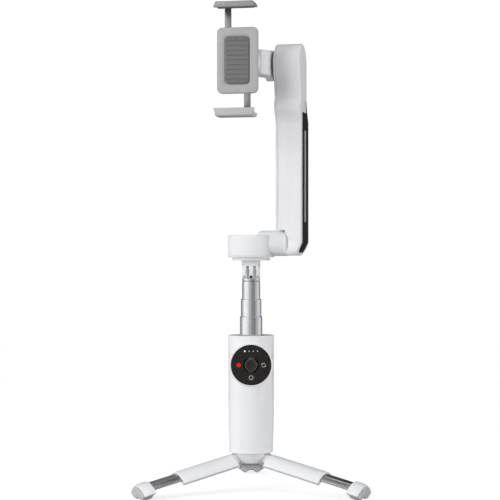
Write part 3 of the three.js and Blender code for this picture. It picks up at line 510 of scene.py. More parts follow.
def rear_shell(bottom_radius):
    low, high = extents("handle_rear_shell", BASE)
    trigger_low, trigger_high = extents("trigger", BASE)
    power_low, power_high = extents("power_button", BASE)
    front_half = slab(-40, 40, -40, 0.12, 0, high.z + 10)
    trigger_hole = prism(
        rectangle(trigger_low.x - 0.5, trigger_high.x + 0.5, trigger_low.z - 0.5, trigger_high.z + 0.5, 2.2), "y", 8, 40,
    )
    power_hole = prism(
        rectangle(power_low.y - 0.3, power_high.y + 0.3, power_low.z - 0.3, power_high.z + 0.3, 2.2), "x", 10, 40,
    )
    shell = handle_tube(low, high, bottom_radius)
    shell = combine(shell, "DIFFERENCE", front_half, trigger_hole, power_hole, port_cutter())
    return soften(shell, 0.3, 3)


def build_handle_body():
    low, high = extents("handle_top_cap", BASE)
    ring_low, ring_high = extents("handle_base_ring", BASE)
    bottom_radius = ring_high.x
    show("front_cover", front_shell(bottom_radius), BASE, "handle", WHITE, "handle_front_shell")
    show("rear_cover", rear_shell(bottom_radius), BASE, "handle", WHITE, "handle_rear_shell")
    hole = extents("rod_lower_tube", BASE)[1].x + 0.4
    cap = lathe(rounded([
        (hole, low.z), (high.x, low.z, 0.2), (high.x, high.z, 0.15), (hole + 1.2, high.z, 0.3),
        (hole + 0.9, high.z - 0.6), (hole, high.z - 0.6, 0.2),
    ], 12))
    show("top_collar", cap, BASE, "handle", WHITE, "handle_top_cap")
    inner = extents("tripod_hub", BASE)[1].x + 0.3
    band_top = extents("handle_front_shell", BASE)[0].z - 0.05
    band = lathe(rounded([
        (inner, ring_low.z), (bottom_radius - 0.5, ring_low.z, 0.2), (bottom_radius, ring_low.z + 0.5, 0.4),
        (bottom_radius, band_top, 0.1), (inner, band_top),
    ], 12))
    show("base_band", band, BASE, "handle", WHITE, "handle_base_ring")


def build_port():
    low, high = extents("charging_port", BASE)
    middle = (low.z + high.z) / 2
    height = high.z - low.z
    shell = prism(rectangle(low.y, high.y, low.z, high.z, height / 2 - 0.01), "x", low.x + 0.2, high.x)
    mouth = prism(
        rectangle(low.y + 0.4, high.y - 0.4, low.z + 0.4, high.z - 0.4, height / 2 - 0.41), "x", low.x - 2, high.x - 1,
    )
    show("port_shell", soften(combine(shell, "DIFFERENCE", mouth), 0.1, 2), BASE, "handle", SATIN, "charging_port")
    tongue = soften(slab(low.x + 1, high.x - 0.8, low.y + 1.4, high.y - 1.4, middle - 0.35, middle + 0.35), 0.15, 2)
    show("port_tongue", tongue, BASE, "handle", BLACK_SATIN)


def curved_button(low, high, radius, corner):
    """A key whose outer face follows the handle's curve, on the +X side."""
    key = prism(rectangle(low.y, high.y, low.z, high.z, corner), "x", 8, 40)
    key = combine(key, "INTERSECT", hoop(radius - 3, radius, low.z - 10, high.z + 10))
    return soften(key, 0.35, 3)


def build_power_button():
    low, high = extents("power_button", BASE)
    radius = extents("handle_rear_shell", BASE)[1].x + 0.25
    show("power_key", curved_button(low, high, radius, 2), BASE, "power_button", GREY, "power_button")


def build_trigger():
    low, high = extents("trigger", BASE)
    middle = (low.z + high.z) / 2
    side = rounded([
        (low.y, high.z - 1, 0.6), (low.y, high.z - 8), (low.y + 2.4, high.z - 11), (low.y + 2.4, low.z + 1, 0.6),
        (low.y + 4.6, low.z, 0.6), (high.y - 0.4, low.z + 5, 4), (high.y, middle - 1, 12),
        (high.y - 2.4, middle + 7, 12), (low.y + 5, high.z, 1.2),
    ], 5)
    lever = soften(prism(side, "x", low.x, high.x), 1.0, 4)
    pin_low, pin_high = extents("trigger_pin", BASE)
    centre = (0, (pin_low.y + pin_high.y) / 2, (pin_low.z + pin_high.z) / 2)
    eye = disc((pin_high.z - pin_low.z) / 2 + 0.3, low.x - 2, high.x + 2, "x", centre)
    show("trigger_lever", combine(lever, "DIFFERENCE", eye), BASE, "trigger", WHITE, "trigger")


# --------------------------------------------------------------------------------------------------
# Touch disc and joystick
# --------------------------------------------------------------------------------------------------

MARK_HEIGHT = 0.05  # how far a printed mark stands off the disc
MARK_REACH = 9.7  # from the disc's middle to each printed mark
LAMP_RISE = 10.8
LAMP_STEP = 3.3


def build_touch_disc():
    low, high = extents("touch_disc", BASE)
    centre = (0, 0, (low.z + high.z) / 2)
    radius = high.x
    stick_radius = extents("joystick", BASE)[1].x
    plate = lathe(rounded([
        (stick_radius + 1.5, low.y, 0.3), (radius, low.y, 0.3), (radius, high.y), (stick_radius + 1.5, high.y),
    ], 10), SMOOTH_SIDES, "y", centre)
    show("touch_face", plate, BASE, "touch_disc", BLACK_PANEL, "touch_disc")
    face = (low.y - MARK_HEIGHT, low.y + 0.1)
    dot = disc(1.6, *face, "y", (-MARK_REACH, 0, centre[2]), 0.02)
    # The red record dot carries a painted glow
    show("record_mark", dot, BASE, "touch_disc", MARK_RED_GLOW)
    circle = hoop(1.35, 1.65, *face, "y", (0, 0, centre[2] - MARK_REACH), 0.02, SMALL_SIDES)
    show("mode_mark", circle, BASE, "touch_disc", MARK_WHITE)
    for turn in (0, 180):
        show(f"turn_mark_{turn}", turn_arrow(turn, face, centre[2]), BASE, "touch_disc", MARK_WHITE)
    for number in range(4):
        x = (number - 1.5) * LAMP_STEP
        lamp = disc(0.45, *face, "y", (x, 0, centre[2] + LAMP_RISE), 0.02, 24)
        show(f"level_lamp_{number + 1}", lamp, BASE, "touch_disc", LAMP_DIM if number else LAMP_ON)


def turn_arrow(turn, face, z):
    """Half of the camera-turn mark: an arc of a third of a circle that ends in an arrowhead."""
    middle = (MARK_REACH, z)
    outer = arc(middle, 1.6, turn + 20, turn + 140, 12)
    inner = arc(middle, 1.35, turn + 140, turn + 20, 12)
    tip = arc(middle, 1.48, turn + 172, turn + 172, 1)[0]
    head = [arc(middle, 2.0, turn + 140, turn + 140, 1)[0], tip, arc(middle, 0.95, turn + 140, turn + 140, 1)[0]]
    return prism(outer + head + inner, "y", *face)


def build_joystick():
    low, high = extents("joystick", BASE)
    centre = (0, 0, (low.z + high.z) / 2)
    radius = high.x
    cap = lathe(rounded([
        (0, low.y + 0.75), (radius - 1.5, low.y + 0.45, 2), (radius - 0.7, low.y, 0.4), (radius, low.y + 0.5, 0.4),
        (radius, low.y + 1.4, 0.2), (1.3, low.y + 1.6, 0.4), (1.1, low.y + 5), (1.8, low.y + 6.9, 1.2),
        (0, low.y + 8.2),
    ], 10), SMALL_SIDES * 2, "y", centre)
    show("stick_cap", cap, BASE, "joystick", BLACK_SATIN, "joystick")
    rim = hoop(radius - 0.15, radius + 0.1, low.y + 0.25, low.y + 0.7, "y", centre, 0.1)
    show("stick_rim", rim, BASE, "joystick", SATIN)
    for number in range(4):
        angle = math.radians(90 * number)
        spot = (centre[0] + 3.1 * math.cos(angle), 0, centre[2] + 3.1 * math.sin(angle))
        nub = lathe(rounded([(0, low.y + 0.18), (0.38, low.y + 0.35, 0.25), (0.45, low.y + 0.9), (0, low.y + 0.9)], 20),
                    24, "y", spot)
        show(f"stick_nub_{number + 1}", nub, BASE, "joystick", BLACK_SATIN)


# --------------------------------------------------------------------------------------------------
# Telescopic rod and neck
# --------------------------------------------------------------------------------------------------

RIM_HEIGHT = 1.3
STUD_DROP = 4.2  # from a tube's rim to its lock stud
STUD_TURN = -27  # degrees from straight ahead


def build_rod_section(name, bore_wall):
    low, high = extents(f"rod_{name}_tube", BASE)
    radius = high.x
    body = f"rod_{name}"
    tube = lathe(rounded([
        (radius - bore_wall, low.z), (radius, low.z, 0.15), (radius, high.z - RIM_HEIGHT - 0.3),
        (radius - 0.25, high.z - RIM_HEIGHT - 0.25), (radius - 0.25, high.z - RIM_HEIGHT), (radius + 0.05, high.z - RIM_HEIGHT),
        (radius + 0.05, high.z - 0.5, 0.5),
        (radius - bore_wall, high.z, 0.1),
    ], 15))
    show(f"{name}_section", tube, BASE, body, POLISHED, f"rod_{name}_tube")
    turn = math.radians(STUD_TURN)
    out = Vector((math.sin(turn), -math.cos(turn), 0))
    at = out * (radius - 0.5) + Vector((0, 0, high.z - STUD_DROP))
    stud = lathe(rounded([(0, 0), (1.2, 0), (1.2, 0.42, 0.05), (0.9, 0.52, 0.1), (0, 0.4)], 12), SMALL_SIDES)
    facing = Matrix.Translation(at) @ out.to_track_quat("Z", "Y").to_matrix().to_4x4()
    show(f"{name}_stud", moved(stud, facing), BASE, body, POLISHED)


def build_yoke():
    low, high = extents("rod_yoke", BASE)
    pivot = joint_point("neck_tilt").z
    ear_radius = high.z - pivot
    ring_top = pivot - ear_radius - 1
    tube_top = extents("rod_upper_tube", BASE)[1].z
    collar = lathe(rounded([
        (0, low.z), (6.1, low.z, 0.5), (6.1, tube_top), (high.x, tube_top + 0.3, 0.2), (high.x, ring_top, 0.4),
        (0, ring_top),
    ], 12))
    ears = []
    for side in (-1, 1):
        x0, x1 = sorted((side * 1.6, side * 3.8))
        outline = [(-ear_radius, ring_top - 1), (ear_radius, ring_top - 1), *arc((0, pivot), ear_radius, 0, 180, 32)]
        ears.append(prism(outline, "x", x0, x1))
    yoke = combine(collar, "UNION", *ears)
    yoke = combine(yoke, "DIFFERENCE", disc(1.8, -9, 9, "x", (0, 0, pivot)))
    show("yoke", soften(yoke, 0.25, 3), BASE, "rod_upper", POLISHED, "rod_yoke")
    build_neck_pin(pivot)


def build_neck_pin(pivot):
    low, high = extents("neck_pin", BASE)
    pin = disc((high.z - low.z) / 2, low.x, high.x, "x", (0, 0, pivot), 0.3)
    recess = prism(arc((0, pivot), 0.85, 0, 300, 5), "x", high.x - 0.7, high.x + 1)
    show("hinge_pin", combine(pin, "DIFFERENCE", recess), BASE, "rod_upper", POLISHED, "neck_pin")


def build_fork():
    low, high = extents("neck_fork", BASE)
    pivot = joint_point("neck_tilt").z
    prong = pivot - low.z
    radius = extents("rod_upper_tube", BASE)[1].x + 0.1
    flange_low = high.z - 2.2
    knuckle = prism(
        [(-prong, flange_low - 3), *arc((0, pivot), prong, 180, 360, 40), (prong, flange_low - 3)], "x", -radius, radius,
    )
    knuckle = combine(knuckle, "INTERSECT", disc(radius, low.z - 2, flange_low, sides=SMOOTH_SIDES))
    post = disc(radius, pivot + 5.3, flange_low + 1, edge=0, sides=SMOOTH_SIDES)
    relief = slab(-9, 9, -12, -5.2, pivot, pivot + 7.6)
    flange = disc(high.x, flange_low, high.z, edge=0.5, sides=SMOOTH_SIDES)
    fork = combine(combine(knuckle, "UNION", combine(post, "DIFFERENCE", relief)), "UNION", flange)
    slots = [slab(*sorted((side * 1.3, side * 4.1)), -12, 12, low.z - 2, pivot + 4.7) for side in (-1, 1)]
    hole = disc(1.8, -12, 12, "x", (0, 0, pivot))
    counterbores = [disc(2.4, *sorted((side * 6.2, side * 12)), "x", (0, 0, pivot)) for side in (-1, 1)]
    fork = combine(fork, "DIFFERENCE", *slots, hole, *counterbores)
    show("fork", soften(fork, 0.3, 3), BASE, "neck", WHITE, "neck_fork")
    stop = prism(
        arc((0, pivot), prong + 0.15, 222, 268) + arc((0, pivot), prong - 0.4, 268, 222), "x", -1.1, 1.1,
    )
    show("fork_stop", stop, BASE, "neck", BLACK_SATIN)


# --------------------------------------------------------------------------------------------------
# Pan motor
# --------------------------------------------------------------------------------------------------


def build_pan_motor():
    low, high = extents("pan_housing", HEAD)
    cap_low, cap_high = extents("pan_cap", HEAD)
    radius = cap_high.x
    centre = HEAD.inverted() @ joint_point("arm_fold")
    barrel_radius = high.z - centre.z
    top = high.z - 3.6
    bottom = cap_high.z + 0.1
    drum = lathe(rounded([(0, bottom), (radius, bottom, 0.12), (radius, top, 1.7), (0, top)], 12))
    barrel = lathe(rounded([
        (0, 5), (barrel_radius, 5, 4.5), (barrel_radius, high.x - 3, 0.4), (3.6, high.x), (0, high.x),
    ], 8), SMOOTH_SIDES, "x", (0, 0, centre.z))
    housing = combine(drum, "UNION", barrel)
    cap_room = disc(radius + 0.3, cap_low.z - 5, bottom, sides=SMOOTH_SIDES)
    cavity = disc(13.2, low.z - 1, low.z + 10, sides=SMALL_SIDES)
    bore = disc(3.3, 15, high.x + 1, "x", (0, 0, centre.z))
    housing = combine(housing, "DIFFERENCE", cap_room, cavity, bore)
    show("pan_drum", soften(housing, 0.25, 3), HEAD, "pan", WHITE, "pan_housing")
    cap = lathe(rounded([
        (5.1, cap_low.z, 0.2), (radius - 0.6, cap_low.z, 0.3), (radius, cap_low.z + 0.6, 0.3),
        (radius, cap_high.z, 0.1), (5.1, cap_high.z, 0.2),
    ], 12))
    show("pan_lower_cap", cap, HEAD, "pan", WHITE, "pan_cap")


# --------------------------------------------------------------------------------------------------
# Arm
# --------------------------------------------------------------------------------------------------

ARM_EDGE = 4.6  # rounding of the arm's outer long edges
ARM_INNER_EDGE = 2.0


def arm_outline(inset=0.0):
    """The arm's side view in (y, z): a straight lower part, a bend, and a round head about the tilt axis."""
    low, high = extents("arm_shell", HEAD)
    tilt = HEAD.inverted() @ joint_point("tilt_turn")
    head_radius = high.z - tilt.z
    rear = high.y - inset
    front = -high.y + inset
    head_front = tilt.y - head_radius + inset
    head_rear = tilt.y + head_radius - inset
    bend = low.z + 104.5
    head = arc((tilt.y, tilt.z), head_radius - inset, 0, 180, 48)
    return [
        *rounded([
            (head_front, bend + 12.5, 8), (front, bend, 8), (front, low.z + inset, 6), (rear, low.z + inset, 6),
            (rear, bend, 5), (head_rear, bend + 12.5, 5), (head_rear, bend + 40),
        ], 6)[:-1],
        *head,
    ]


def barrel_room():
    """The room for the fold barrel, with a groove that follows the barrel's cone."""
    low, high = extents("arm_shell", HEAD)
    axis_z = joint_point("arm_fold").z
    groove = high.x - 10.4
    groove_end = high.x - 13.3
    notch = axis_z + 10.3
    return prism([
        (0, low.z - 1), (groove_end, low.z - 1), (groove_end, axis_z - 10), (groove, axis_z - 3.6),
        (groove, axis_z + 3.6), (groove_end, notch), (0, notch),
    ], "y", -60, 60)


def lean_in(solid):
    """Slants the outer face inwards towards the arm's lower end."""
    low, high = extents("arm_shell", HEAD)
    start = low.z + 10.2
    slope = 4.6 / 10.2
    everything = [*solid.verts, *solid.edges, *solid.faces]
    bmesh.ops.bisect_plane(solid, geom=everything, dist=1e-5, plane_co=(0, 0, start), plane_no=(0, 0, 1))
    for vertex in solid.verts:
        if vertex.co.z < start and vertex.co.x > high.x - 10:
            vertex.co.x -= (start - vertex.co.z) * slope
    return solid


def build_arm():
    shell_low, shell_high = extents("arm_shell", HEAD)
    cover_low, cover_high = extents("arm_inner_cover", HEAD)
    seam = cover_high.x
    solid = prism(arm_outline(), "x", cover_low.x, shell_high.x)
    solid = soften(solid, ARM_EDGE, 8, lambda edge: all(v.co.x > shell_high.x - 0.01 for v in edge.verts))
    solid = soften(solid, ARM_INNER_EDGE, 5, lambda edge: all(v.co.x < cover_low.x + 0.01 for v in edge.verts))
    whole = combine(lean_in(solid), "DIFFERENCE", barrel_room())
    cover = combine(whole.copy(), "DIFFERENCE", slab(seam, 60, -60, 60, 100, 400))
    hollow = combine(
        prism(arm_outline(2.0), "x", seam - 1, shell_high.x - 3), "INTERSECT", slab(0, 60, -60, 60, shell_low.z + 24, 400),
    )
    recess = lean_in(prism(inlay_outline(0.1), "x", shell_high.x - 1.1, shell_high.x + 5))
    bore = disc(3.3, 30, shell_high.x - 3.5, "x", (0, 0, joint_point("arm_fold").z))
    shell = combine(whole, "DIFFERENCE", slab(0, seam + 0.25, -60, 60, 100, 400), hollow, recess, bore)
    front_recess = prism(
        rectangle(seam + 0.8, seam + 9.9, shell_low.z + 26, shell_low.z + 104.6, 4.5),
        "y", -shell_high.y - 2, -shell_high.y + 0.3,
    )
    shell = combine(soften(shell, 0.15, 2), "DIFFERENCE", front_recess)
    show("arm_outer", shell, HEAD, "arm", WHITE, "arm_shell")
    tilt = HEAD.inverted() @ joint_point("tilt_turn")
    hole = disc(11.1, 0, 60, "x", (0, tilt.y, tilt.z), sides=SMOOTH_SIDES)
    cover = combine(cover, "DIFFERENCE", hole)
    show("arm_inner", soften(cover, 0.2, 2), HEAD, "arm", WHITE, "arm_inner_cover")


def inlay_outline(growth):
    """The black panel on the arm's outer face, with cut corners and a thin tail along the bend."""
    low, high = extents("arm_inlay", HEAD)
    bend = high.z - 16.5
    g = growth
    return rounded([
        (low.y - g, low.z + 3.5, 1), (low.y + 3.5, low.z - g, 1), (high.y - 3.5, low.z - g, 1),
        (high.y + g, low.z + 3.5, 1), (high.y + g, bend, 3), (4.4 + g, high.z + g, 0.3), (2.6 - g, high.z + g, 0.3),
        (5.0 - g, high.z - 9.6 + g, 1), (low.y - g, high.z - 9.6 + g, 2),
    ], 10)


def build_inlay():
    low, high = extents("arm_inlay", HEAD)
    trim_low, trim_high = extents("arm_trim_strip", HEAD)
    radius = (trim_high.y - trim_low.y) / 2
    outer = extents("arm_shell", HEAD)[1].x
    plate = lean_in(prism(inlay_outline(0), "x", outer - 1.0, outer + 0.1))
    groove = prism(
        rectangle(trim_low.y - 0.2, trim_high.y + 0.2, trim_low.z - 0.2, trim_high.z + 0.2, radius + 0.15),
        "x", high.x - 0.5, high.x + 3,
    )
    show("side_panel", soften(combine(plate, "DIFFERENCE", groove), 0.08, 2), HEAD, "arm", BLACK_GLASS, "arm_inlay")
    strip = prism(
        rectangle(trim_low.y, trim_high.y, trim_low.z, trim_high.z, radius - 0.02), "x", trim_low.x, trim_high.x,
    )
    show("trim_strip", soften(strip, 0.15, 3), HEAD, "arm", BRIGHT, "arm_trim_strip")


# --------------------------------------------------------------------------------------------------
# Tilt bracket, roll motor and clamp
# --------------------------------------------------------------------------------------------------


def build_tilt_bracket():
    low, high = extents("tilt_bracket", HEAD)
    tilt = HEAD.inverted() @ joint_point("tilt_turn")
    can_radius = high.z - tilt.z
    plate = disc(12, high.x - 6, high.x, "x", (0, tilt.y, tilt.z), 1.2, SMOOTH_SIDES)
    beam = prism(rounded([
        (high.x - 11.7, low.y + 3), (high.x - 11.7, low.y + 22, 8), (high.x - 6, tilt.y + 1, 6), (high.x, tilt.y + 1),
        (high.x, low.y + 9, 6), (high.x - 4, low.y + 3, 3),
    ], 8), "z", tilt.z - 9.6, tilt.z + 9.6)
    can = disc(can_radius, low.y, low.y + 15, "y", (0, 0, tilt.z), 1.4, SMOOTH_SIDES)
    bracket = combine(plate, "UNION", soften(beam, 1.6, 4), can)
    pocket = disc(13.2, low.y - 2, low.y + 12, "y", (0, 0, tilt.z), sides=SMOOTH_SIDES)
    bracket = combine(bracket, "DIFFERENCE", pocket)
    show("tilt_arm", soften(bracket, 0.25, 3), HEAD, "tilt", WHITE, "tilt_bracket")
    rotor_low, rotor_high = extents("tilt_rotor", HEAD)
    rotor = lathe(rounded([
        (0, rotor_low.x), (10.5, rotor_low.x, 0.4), (10.5, rotor_low.x + 2.2), (10.1, rotor_low.x + 2.4),
        (10.1, rotor_high.x, 0.4), (0, rotor_high.x),
    ], 12), SMOOTH_SIDES, "x", (0, tilt.y, tilt.z))
    show("tilt_output", rotor, HEAD, "tilt", SATIN, "tilt_rotor")


def build_roll_motor():
    low, high = extents("roll_rotor", HEAD)
    centre = (0, 0, (low.z + high.z) / 2)
    radius = high.x
    rotor = lathe(rounded([
        (0, low.y), (radius, low.y, 0.6), (radius, low.y + 1.2, 0.15), (radius - 0.4, low.y + 1.4, 0.15),
        (radius, low.y + 1.6, 0.15), (radius, low.y + 2.7, 0.5), (4.6, low.y + 2.7), (4.6, high.y, 0.4), (0, high.y),
    ], 12), SMOOTH_SIDES, "y", centre)
    show("roll_cap", rotor, HEAD, "clamp", SATIN, "roll_rotor")
    plate_low, plate_high = extents("clamp_plate", HEAD)
    plate = disc(plate_high.x, plate_low.y, plate_high.y, "y", centre, 0.5, SMOOTH_SIDES)
    pocket = disc(5.6, plate_low.y - 1, plate_high.y - 0.9, "y", centre)
    show("clamp_disc", combine(plate, "DIFFERENCE", pocket), HEAD, "clamp", GREY, "clamp_plate")


def build_clamp_body():
    low, high = extents("clamp_body", HEAD)
    centre_z = (low.z + high.z) / 2
    slab_shape = prism(rectangle(low.x, high.x, low.z, high.z, 4), "y", low.y, high.y)
    slab_shape = soften(slab_shape, 0.9, 4)
    slot = slab(-10.4, 10.4, low.y + 1.2, high.y - 1.2, low.z - 5, high.z + 5)
    shaft = disc(1.5, low.y + 2, high.y + 2, "y", (0, 0, centre_z))
    face = prism(rectangle(-9.8, 9.8, centre_z - 18.8, centre_z + 18.8, 3.4), "y", low.y - 1, low.y + 0.35)
    body = combine(slab_shape, "DIFFERENCE", slot, shaft, face)
    show("clamp_case", soften(body, 0.2, 2), HEAD, "clamp", GREY, "clamp_body")
    pad_low, pad_high = extents("clamp_pad", HEAD)
    pad = soften(prism(rectangle(pad_low.x, pad_high.x, pad_low.z, pad_high.z, 3), "y", pad_low.y, pad_high.y + 0.5), 0.3, 3)
    grooves = [
        slab(pad_low.x - 1, pad_high.x + 1, pad_low.y - 1, pad_low.y + 0.3, z - 0.35, z + 0.35)
        for z in (pad_low.z + (pad_high.z - pad_low.z) * k / 10 for k in range(1, 10))
    ]
    show("back_pad", combine(pad, "DIFFERENCE", *grooves), HEAD, "clamp", GREY_RUBBER, "clamp_pad")


JAW_OUTER_HALF = 14  # half width at the jaw's outer face
LIP_REACH = {"upper": 38.6, "lower": 36.8}  # from the clamp's middle to the tip of each lip


def jaw_hook(lip_in):
    """A jaw that hooks over the phone's edge; its lip ends at a height above the clamp's middle."""
    low, high = extents("upper_jaw", HEAD)
    pad_low, pad_high = extents("upper_jaw_pad", HEAD)
    plate_in = pad_high.z + 0.3
    lip_back = pad_low.y - 0.3
    half = high.x
    hook = prism(rounded([
        (high.y, plate_in, 0.4), (lip_back, plate_in, 0.4), (lip_back, lip_in, 0.5), (low.y, lip_in, 0.6),
        (low.y, high.z, 1.2), (high.y, high.z, 0.8),
    ], 10), "x", -half, half)
    lean = (1 - JAW_OUTER_HALF / half) / (high.z - lip_in)
    for vertex in hook.verts:
        vertex.co.x *= 1 - (vertex.co.z - lip_in) * lean
    hook = soften(hook, 2.2, 4, lambda edge: all(v.co.z > high.z - 0.01 and abs(v.co.x) > 10 for v in edge.verts)
                  and abs(edge.verts[0].co.y - edge.verts[1].co.y) > 5)
    return soften(hook, 0.3, 3)


def build_jaws():
    low, high = extents("upper_jaw", HEAD)
    centre_z = (high.z + extents("lower_jaw", HEAD)[0].z) / 2
    about = Matrix.Translation((0, 0, centre_z))
    turn_over = about @ Matrix.Rotation(math.pi, 4, "Y") @ about.inverted()
    pad_low, pad_high = extents("upper_jaw_pad", HEAD)
    # The upper hook wears the darker grey copy as painted shade; the lower hook wears the plain grey
    for name, place, look in (("upper", Matrix.Identity(4), SHADED_GREY), ("lower", turn_over, GREY)):
        body = f"{name}_jaw"
        show(f"{name}_hook", jaw_hook(centre_z + LIP_REACH[name]), HEAD @ place, body, look, body)
        show(f"{name}_rail", jaw_rail(low, pad_high, centre_z), HEAD @ place, body, SATIN)
        pad = prism(rectangle(pad_low.x, pad_high.x, pad_low.y, pad_high.y, 1.2), "z", pad_low.z, pad_high.z + 0.5)
        grooves = [
            slab(x - 0.35, x + 0.35, pad_low.y - 1, pad_high.y + 1, pad_low.z - 1, pad_low.z + 0.35)
            for x in (pad_low.x + (pad_high.x - pad_low.x) * k / 12 for k in range(1, 12))
        ]
        pad = combine(soften(pad, 0.3, 3), "DIFFERENCE", *grooves)
        show(f"{name}_grip", pad, HEAD @ place, body, GREY_RUBBER, f"{body}_pad")
    for number, x in enumerate((-11.8, -9.6, -7.4)):
        dot = disc(0.4, low.y - 0.05, low.y + 0.1, "y", (x, 0, high.z - 1.7), 0.02, 24)
        show(f"jaw_dot_{number + 1}", dot, HEAD, "upper_jaw", MARK_WHITE)


def jaw_rail(low, pad_high, centre_z):
    """The flat rail that carries a jaw, with its rack teeth towards the pinion."""
    front, back = -49.7, -48.4
    rail = soften(slab(-10, -4.9, front, back, low.z, pad_high.z + 1.2), 0.25, 2)
    pitch = 2 * math.pi * 4 / 10
    teeth = []
    for k in range(-4, 5):
        z = centre_z + (k + 0.5) * pitch
        teeth.append(prism([(-5.2, z - 0.5), (-3.4, z - 0.22), (-3.4, z + 0.22), (-5.2, z + 0.5)], "y", front, back))
    return combine(rail, "UNION", *teeth)


# --------------------------------------------------------------------------------------------------
# Tripod
# --------------------------------------------------------------------------------------------------


def sector_outline(inner, outer, half, steps=28):
    return arc((0, 0), outer, -half, half, steps) + arc((0, 0), inner, half, -half, steps)


def build_sleeve(side, place):
    low, high = extents(f"leg_sleeve_{side}", place)
    pivot = place.inverted() @ joint_point(f"leg_fold_{side}")
    outer, inner, half = high.x, 10.6, 57
    top = pivot.z - 7
    wall = soften(prism(sector_outline(inner, outer, half), "z", low.z, top), 0.7, 4)
    channel = prism(sector_outline(12, 14.2, bar_half_angle(side, place) + 1.5), "z", low.z - 5, top - 2)
    mouth = prism(sector_outline(12, 14.2, 45), "z", low.z - 5, low.z + 3)
    tongue = prism(
        [(pivot.x - 3.2, top - 3), *arc((pivot.x, pivot.z), 3.2, 180, 0, 24), (pivot.x + 3.2, top - 3)], "y", -4, 4,
    )
    tongue = soften(tongue, 0.4, 3)
    sleeve = combine(combine(wall, "DIFFERENCE", channel, mouth), "UNION", tongue)
    sleeve = combine(sleeve, "DIFFERENCE", disc(1.3, -9, 9, "y", (pivot.x, 0, pivot.z)))
    sleeve = soften(sleeve, 0.2, 2, lambda edge: all(v.co.z < low.z + 0.05 for v in edge.verts))
    show(f"sleeve_{side}", sleeve, place, f"leg_{side}", WHITE, f"leg_sleeve_{side}")


def bar_half_angle(side, place):
    """Half of the angle that a leg's bar spans round the leg, in degrees."""
    high = extents(f"leg_bar_{side}", place)[1]
    return math.degrees(math.asin(high.y / high.x))


def build_bar(side, place):
    low, high = extents(f"leg_bar_{side}", place)
    bar = prism(sector_outline(12.3, 13.9, bar_half_angle(side, place)), "z", low.z, high.z)
    grooves = [
        soften(slab(9, 20, y - 0.8, y + 0.8, low.z + 3, high.z - 4), 0.5, 3) for y in (-5, 5)
    ]
    limit = prism(sector_outline(13.2, 18, 60), "z", low.z - 5, high.z + 5)
    grooves = [combine(groove, "INTERSECT", limit.copy()) for groove in grooves]
    limit.free()
    bar = combine(bar, "DIFFERENCE", *grooves)
    show(f"bar_{side}", soften(bar, 0.2, 2), place, f"foot_{side}", DARK_SATIN, f"leg_bar_{side}")


def ground_cut(place, height):
    """Everything below a height above the ground, seen from the folded leg."""
    return moved(slab(-300, 300, -300, 300, height - 200, height), place.inverted())


SOLE_OUTER = 13.6


def build_foot(side, place):
    low, high = extents(f"leg_foot_{side}", place)
    sole_low, sole_high = extents(f"leg_sole_{side}", place)
    outer, inner, half = high.x, 11.9, 58
    rim = 14.4
    dome = lathe(rounded([
        (0, low.z), (rim, low.z, 0.5), (outer, low.z + 3.6, 5), (outer, high.z, 0.5), (0, high.z),
    ], 5))
    foot = combine(prism(sector_outline(inner, outer + 1, half), "z", low.z - 1, high.z + 1), "INTERSECT", dome)
    socket = prism(sector_outline(inner - 1, 14.2, bar_half_angle(side, place) + 2), "z", high.z - 2.4, high.z + 3)
    sole_room = prism(sector_outline(inner - 1, SOLE_OUTER + 0.1, half + 2), "z", low.z - 1, sole_high.z + 0.1)
    foot = combine(foot, "DIFFERENCE", socket, sole_room, ground_cut(place, 0.5))
    show(f"toe_{side}", soften(foot, 0.3, 3), place, f"foot_{side}", WHITE, f"leg_foot_{side}")
    sole = soften(prism(sector_outline(5.5, SOLE_OUTER, half), "z", sole_low.z, sole_high.z), 0.5, 3)
    sole = combine(sole, "DIFFERENCE", ground_cut(place, 0))
    show(f"grip_{side}", sole, place, f"foot_{side}", LIGHT_RUBBER, f"leg_sole_{side}")


def build_hub():
    low, high = extents("tripod_hub", BASE)
    hub = lathe(rounded([
        (5.8, low.z, 0.3), (11.9, low.z, 0.6), (high.x, low.z + 7.5, 1.2), (high.x, high.z), (5.8, high.z),
    ], 8))
    for side in SIDES:
        hinge_axis = joints[f"leg_fold_{side}"]["axis"]
        around = Matrix.Rotation(math.atan2(-hinge_axis[0], hinge_axis[1]), 4, "Z")
        pivot = around.inverted() @ (BASE.inverted() @ joint_point(f"leg_fold_{side}"))
        slot = moved(slab(7.6, 30, -4.3, 4.3, low.z - 3, pivot.z + 3.8), around)
        hole = moved(disc(1.3, -5.3, 5.3, "y", tuple(pivot)), around)
        hub = combine(hub, "DIFFERENCE", slot, hole)
    show("hub", soften(hub, 0.25, 2), BASE, "handle", WHITE, "tripod_hub")
    sleeve_low, sleeve_high = extents("thread_insert", BASE)
    turns = 8
    pitch = (sleeve_high.z - sleeve_low.z - 1.2) / turns
    thread = [(3.2 + 0.45 * (k % 2), sleeve_low.z + 0.6 + pitch * k / 2) for k in range(2 * turns + 1)]
    bush = lathe([(5.5, sleeve_high.z), (5.5, sleeve_low.z), (3.8, sleeve_low.z), *thread, (3.8, sleeve_high.z)])
    show("thread_bush", bush, BASE, "handle", INSIDE["brass_thread"], "thread_insert")


# --------------------------------------------------------------------------------------------------
# Studio
# --------------------------------------------------------------------------------------------------

FLOOR_COLOUR = (0.6, 0.6, 0.605)
FLOOR_GLOW = 0.68  # lifts the floor to white where the camera sees it
FLOOR_FAR = 0.3  # how bright the far floor is for everything but the camera
FLOOR_RADIUS = 9.0
CAMERA_DISTANCE = 1230  # from the handle's axis, in millimetres
CAMERA_HEIGHT = 188.4
CAMERA_SIDE = -0.87
LENS = 112.5
SENSOR = 36


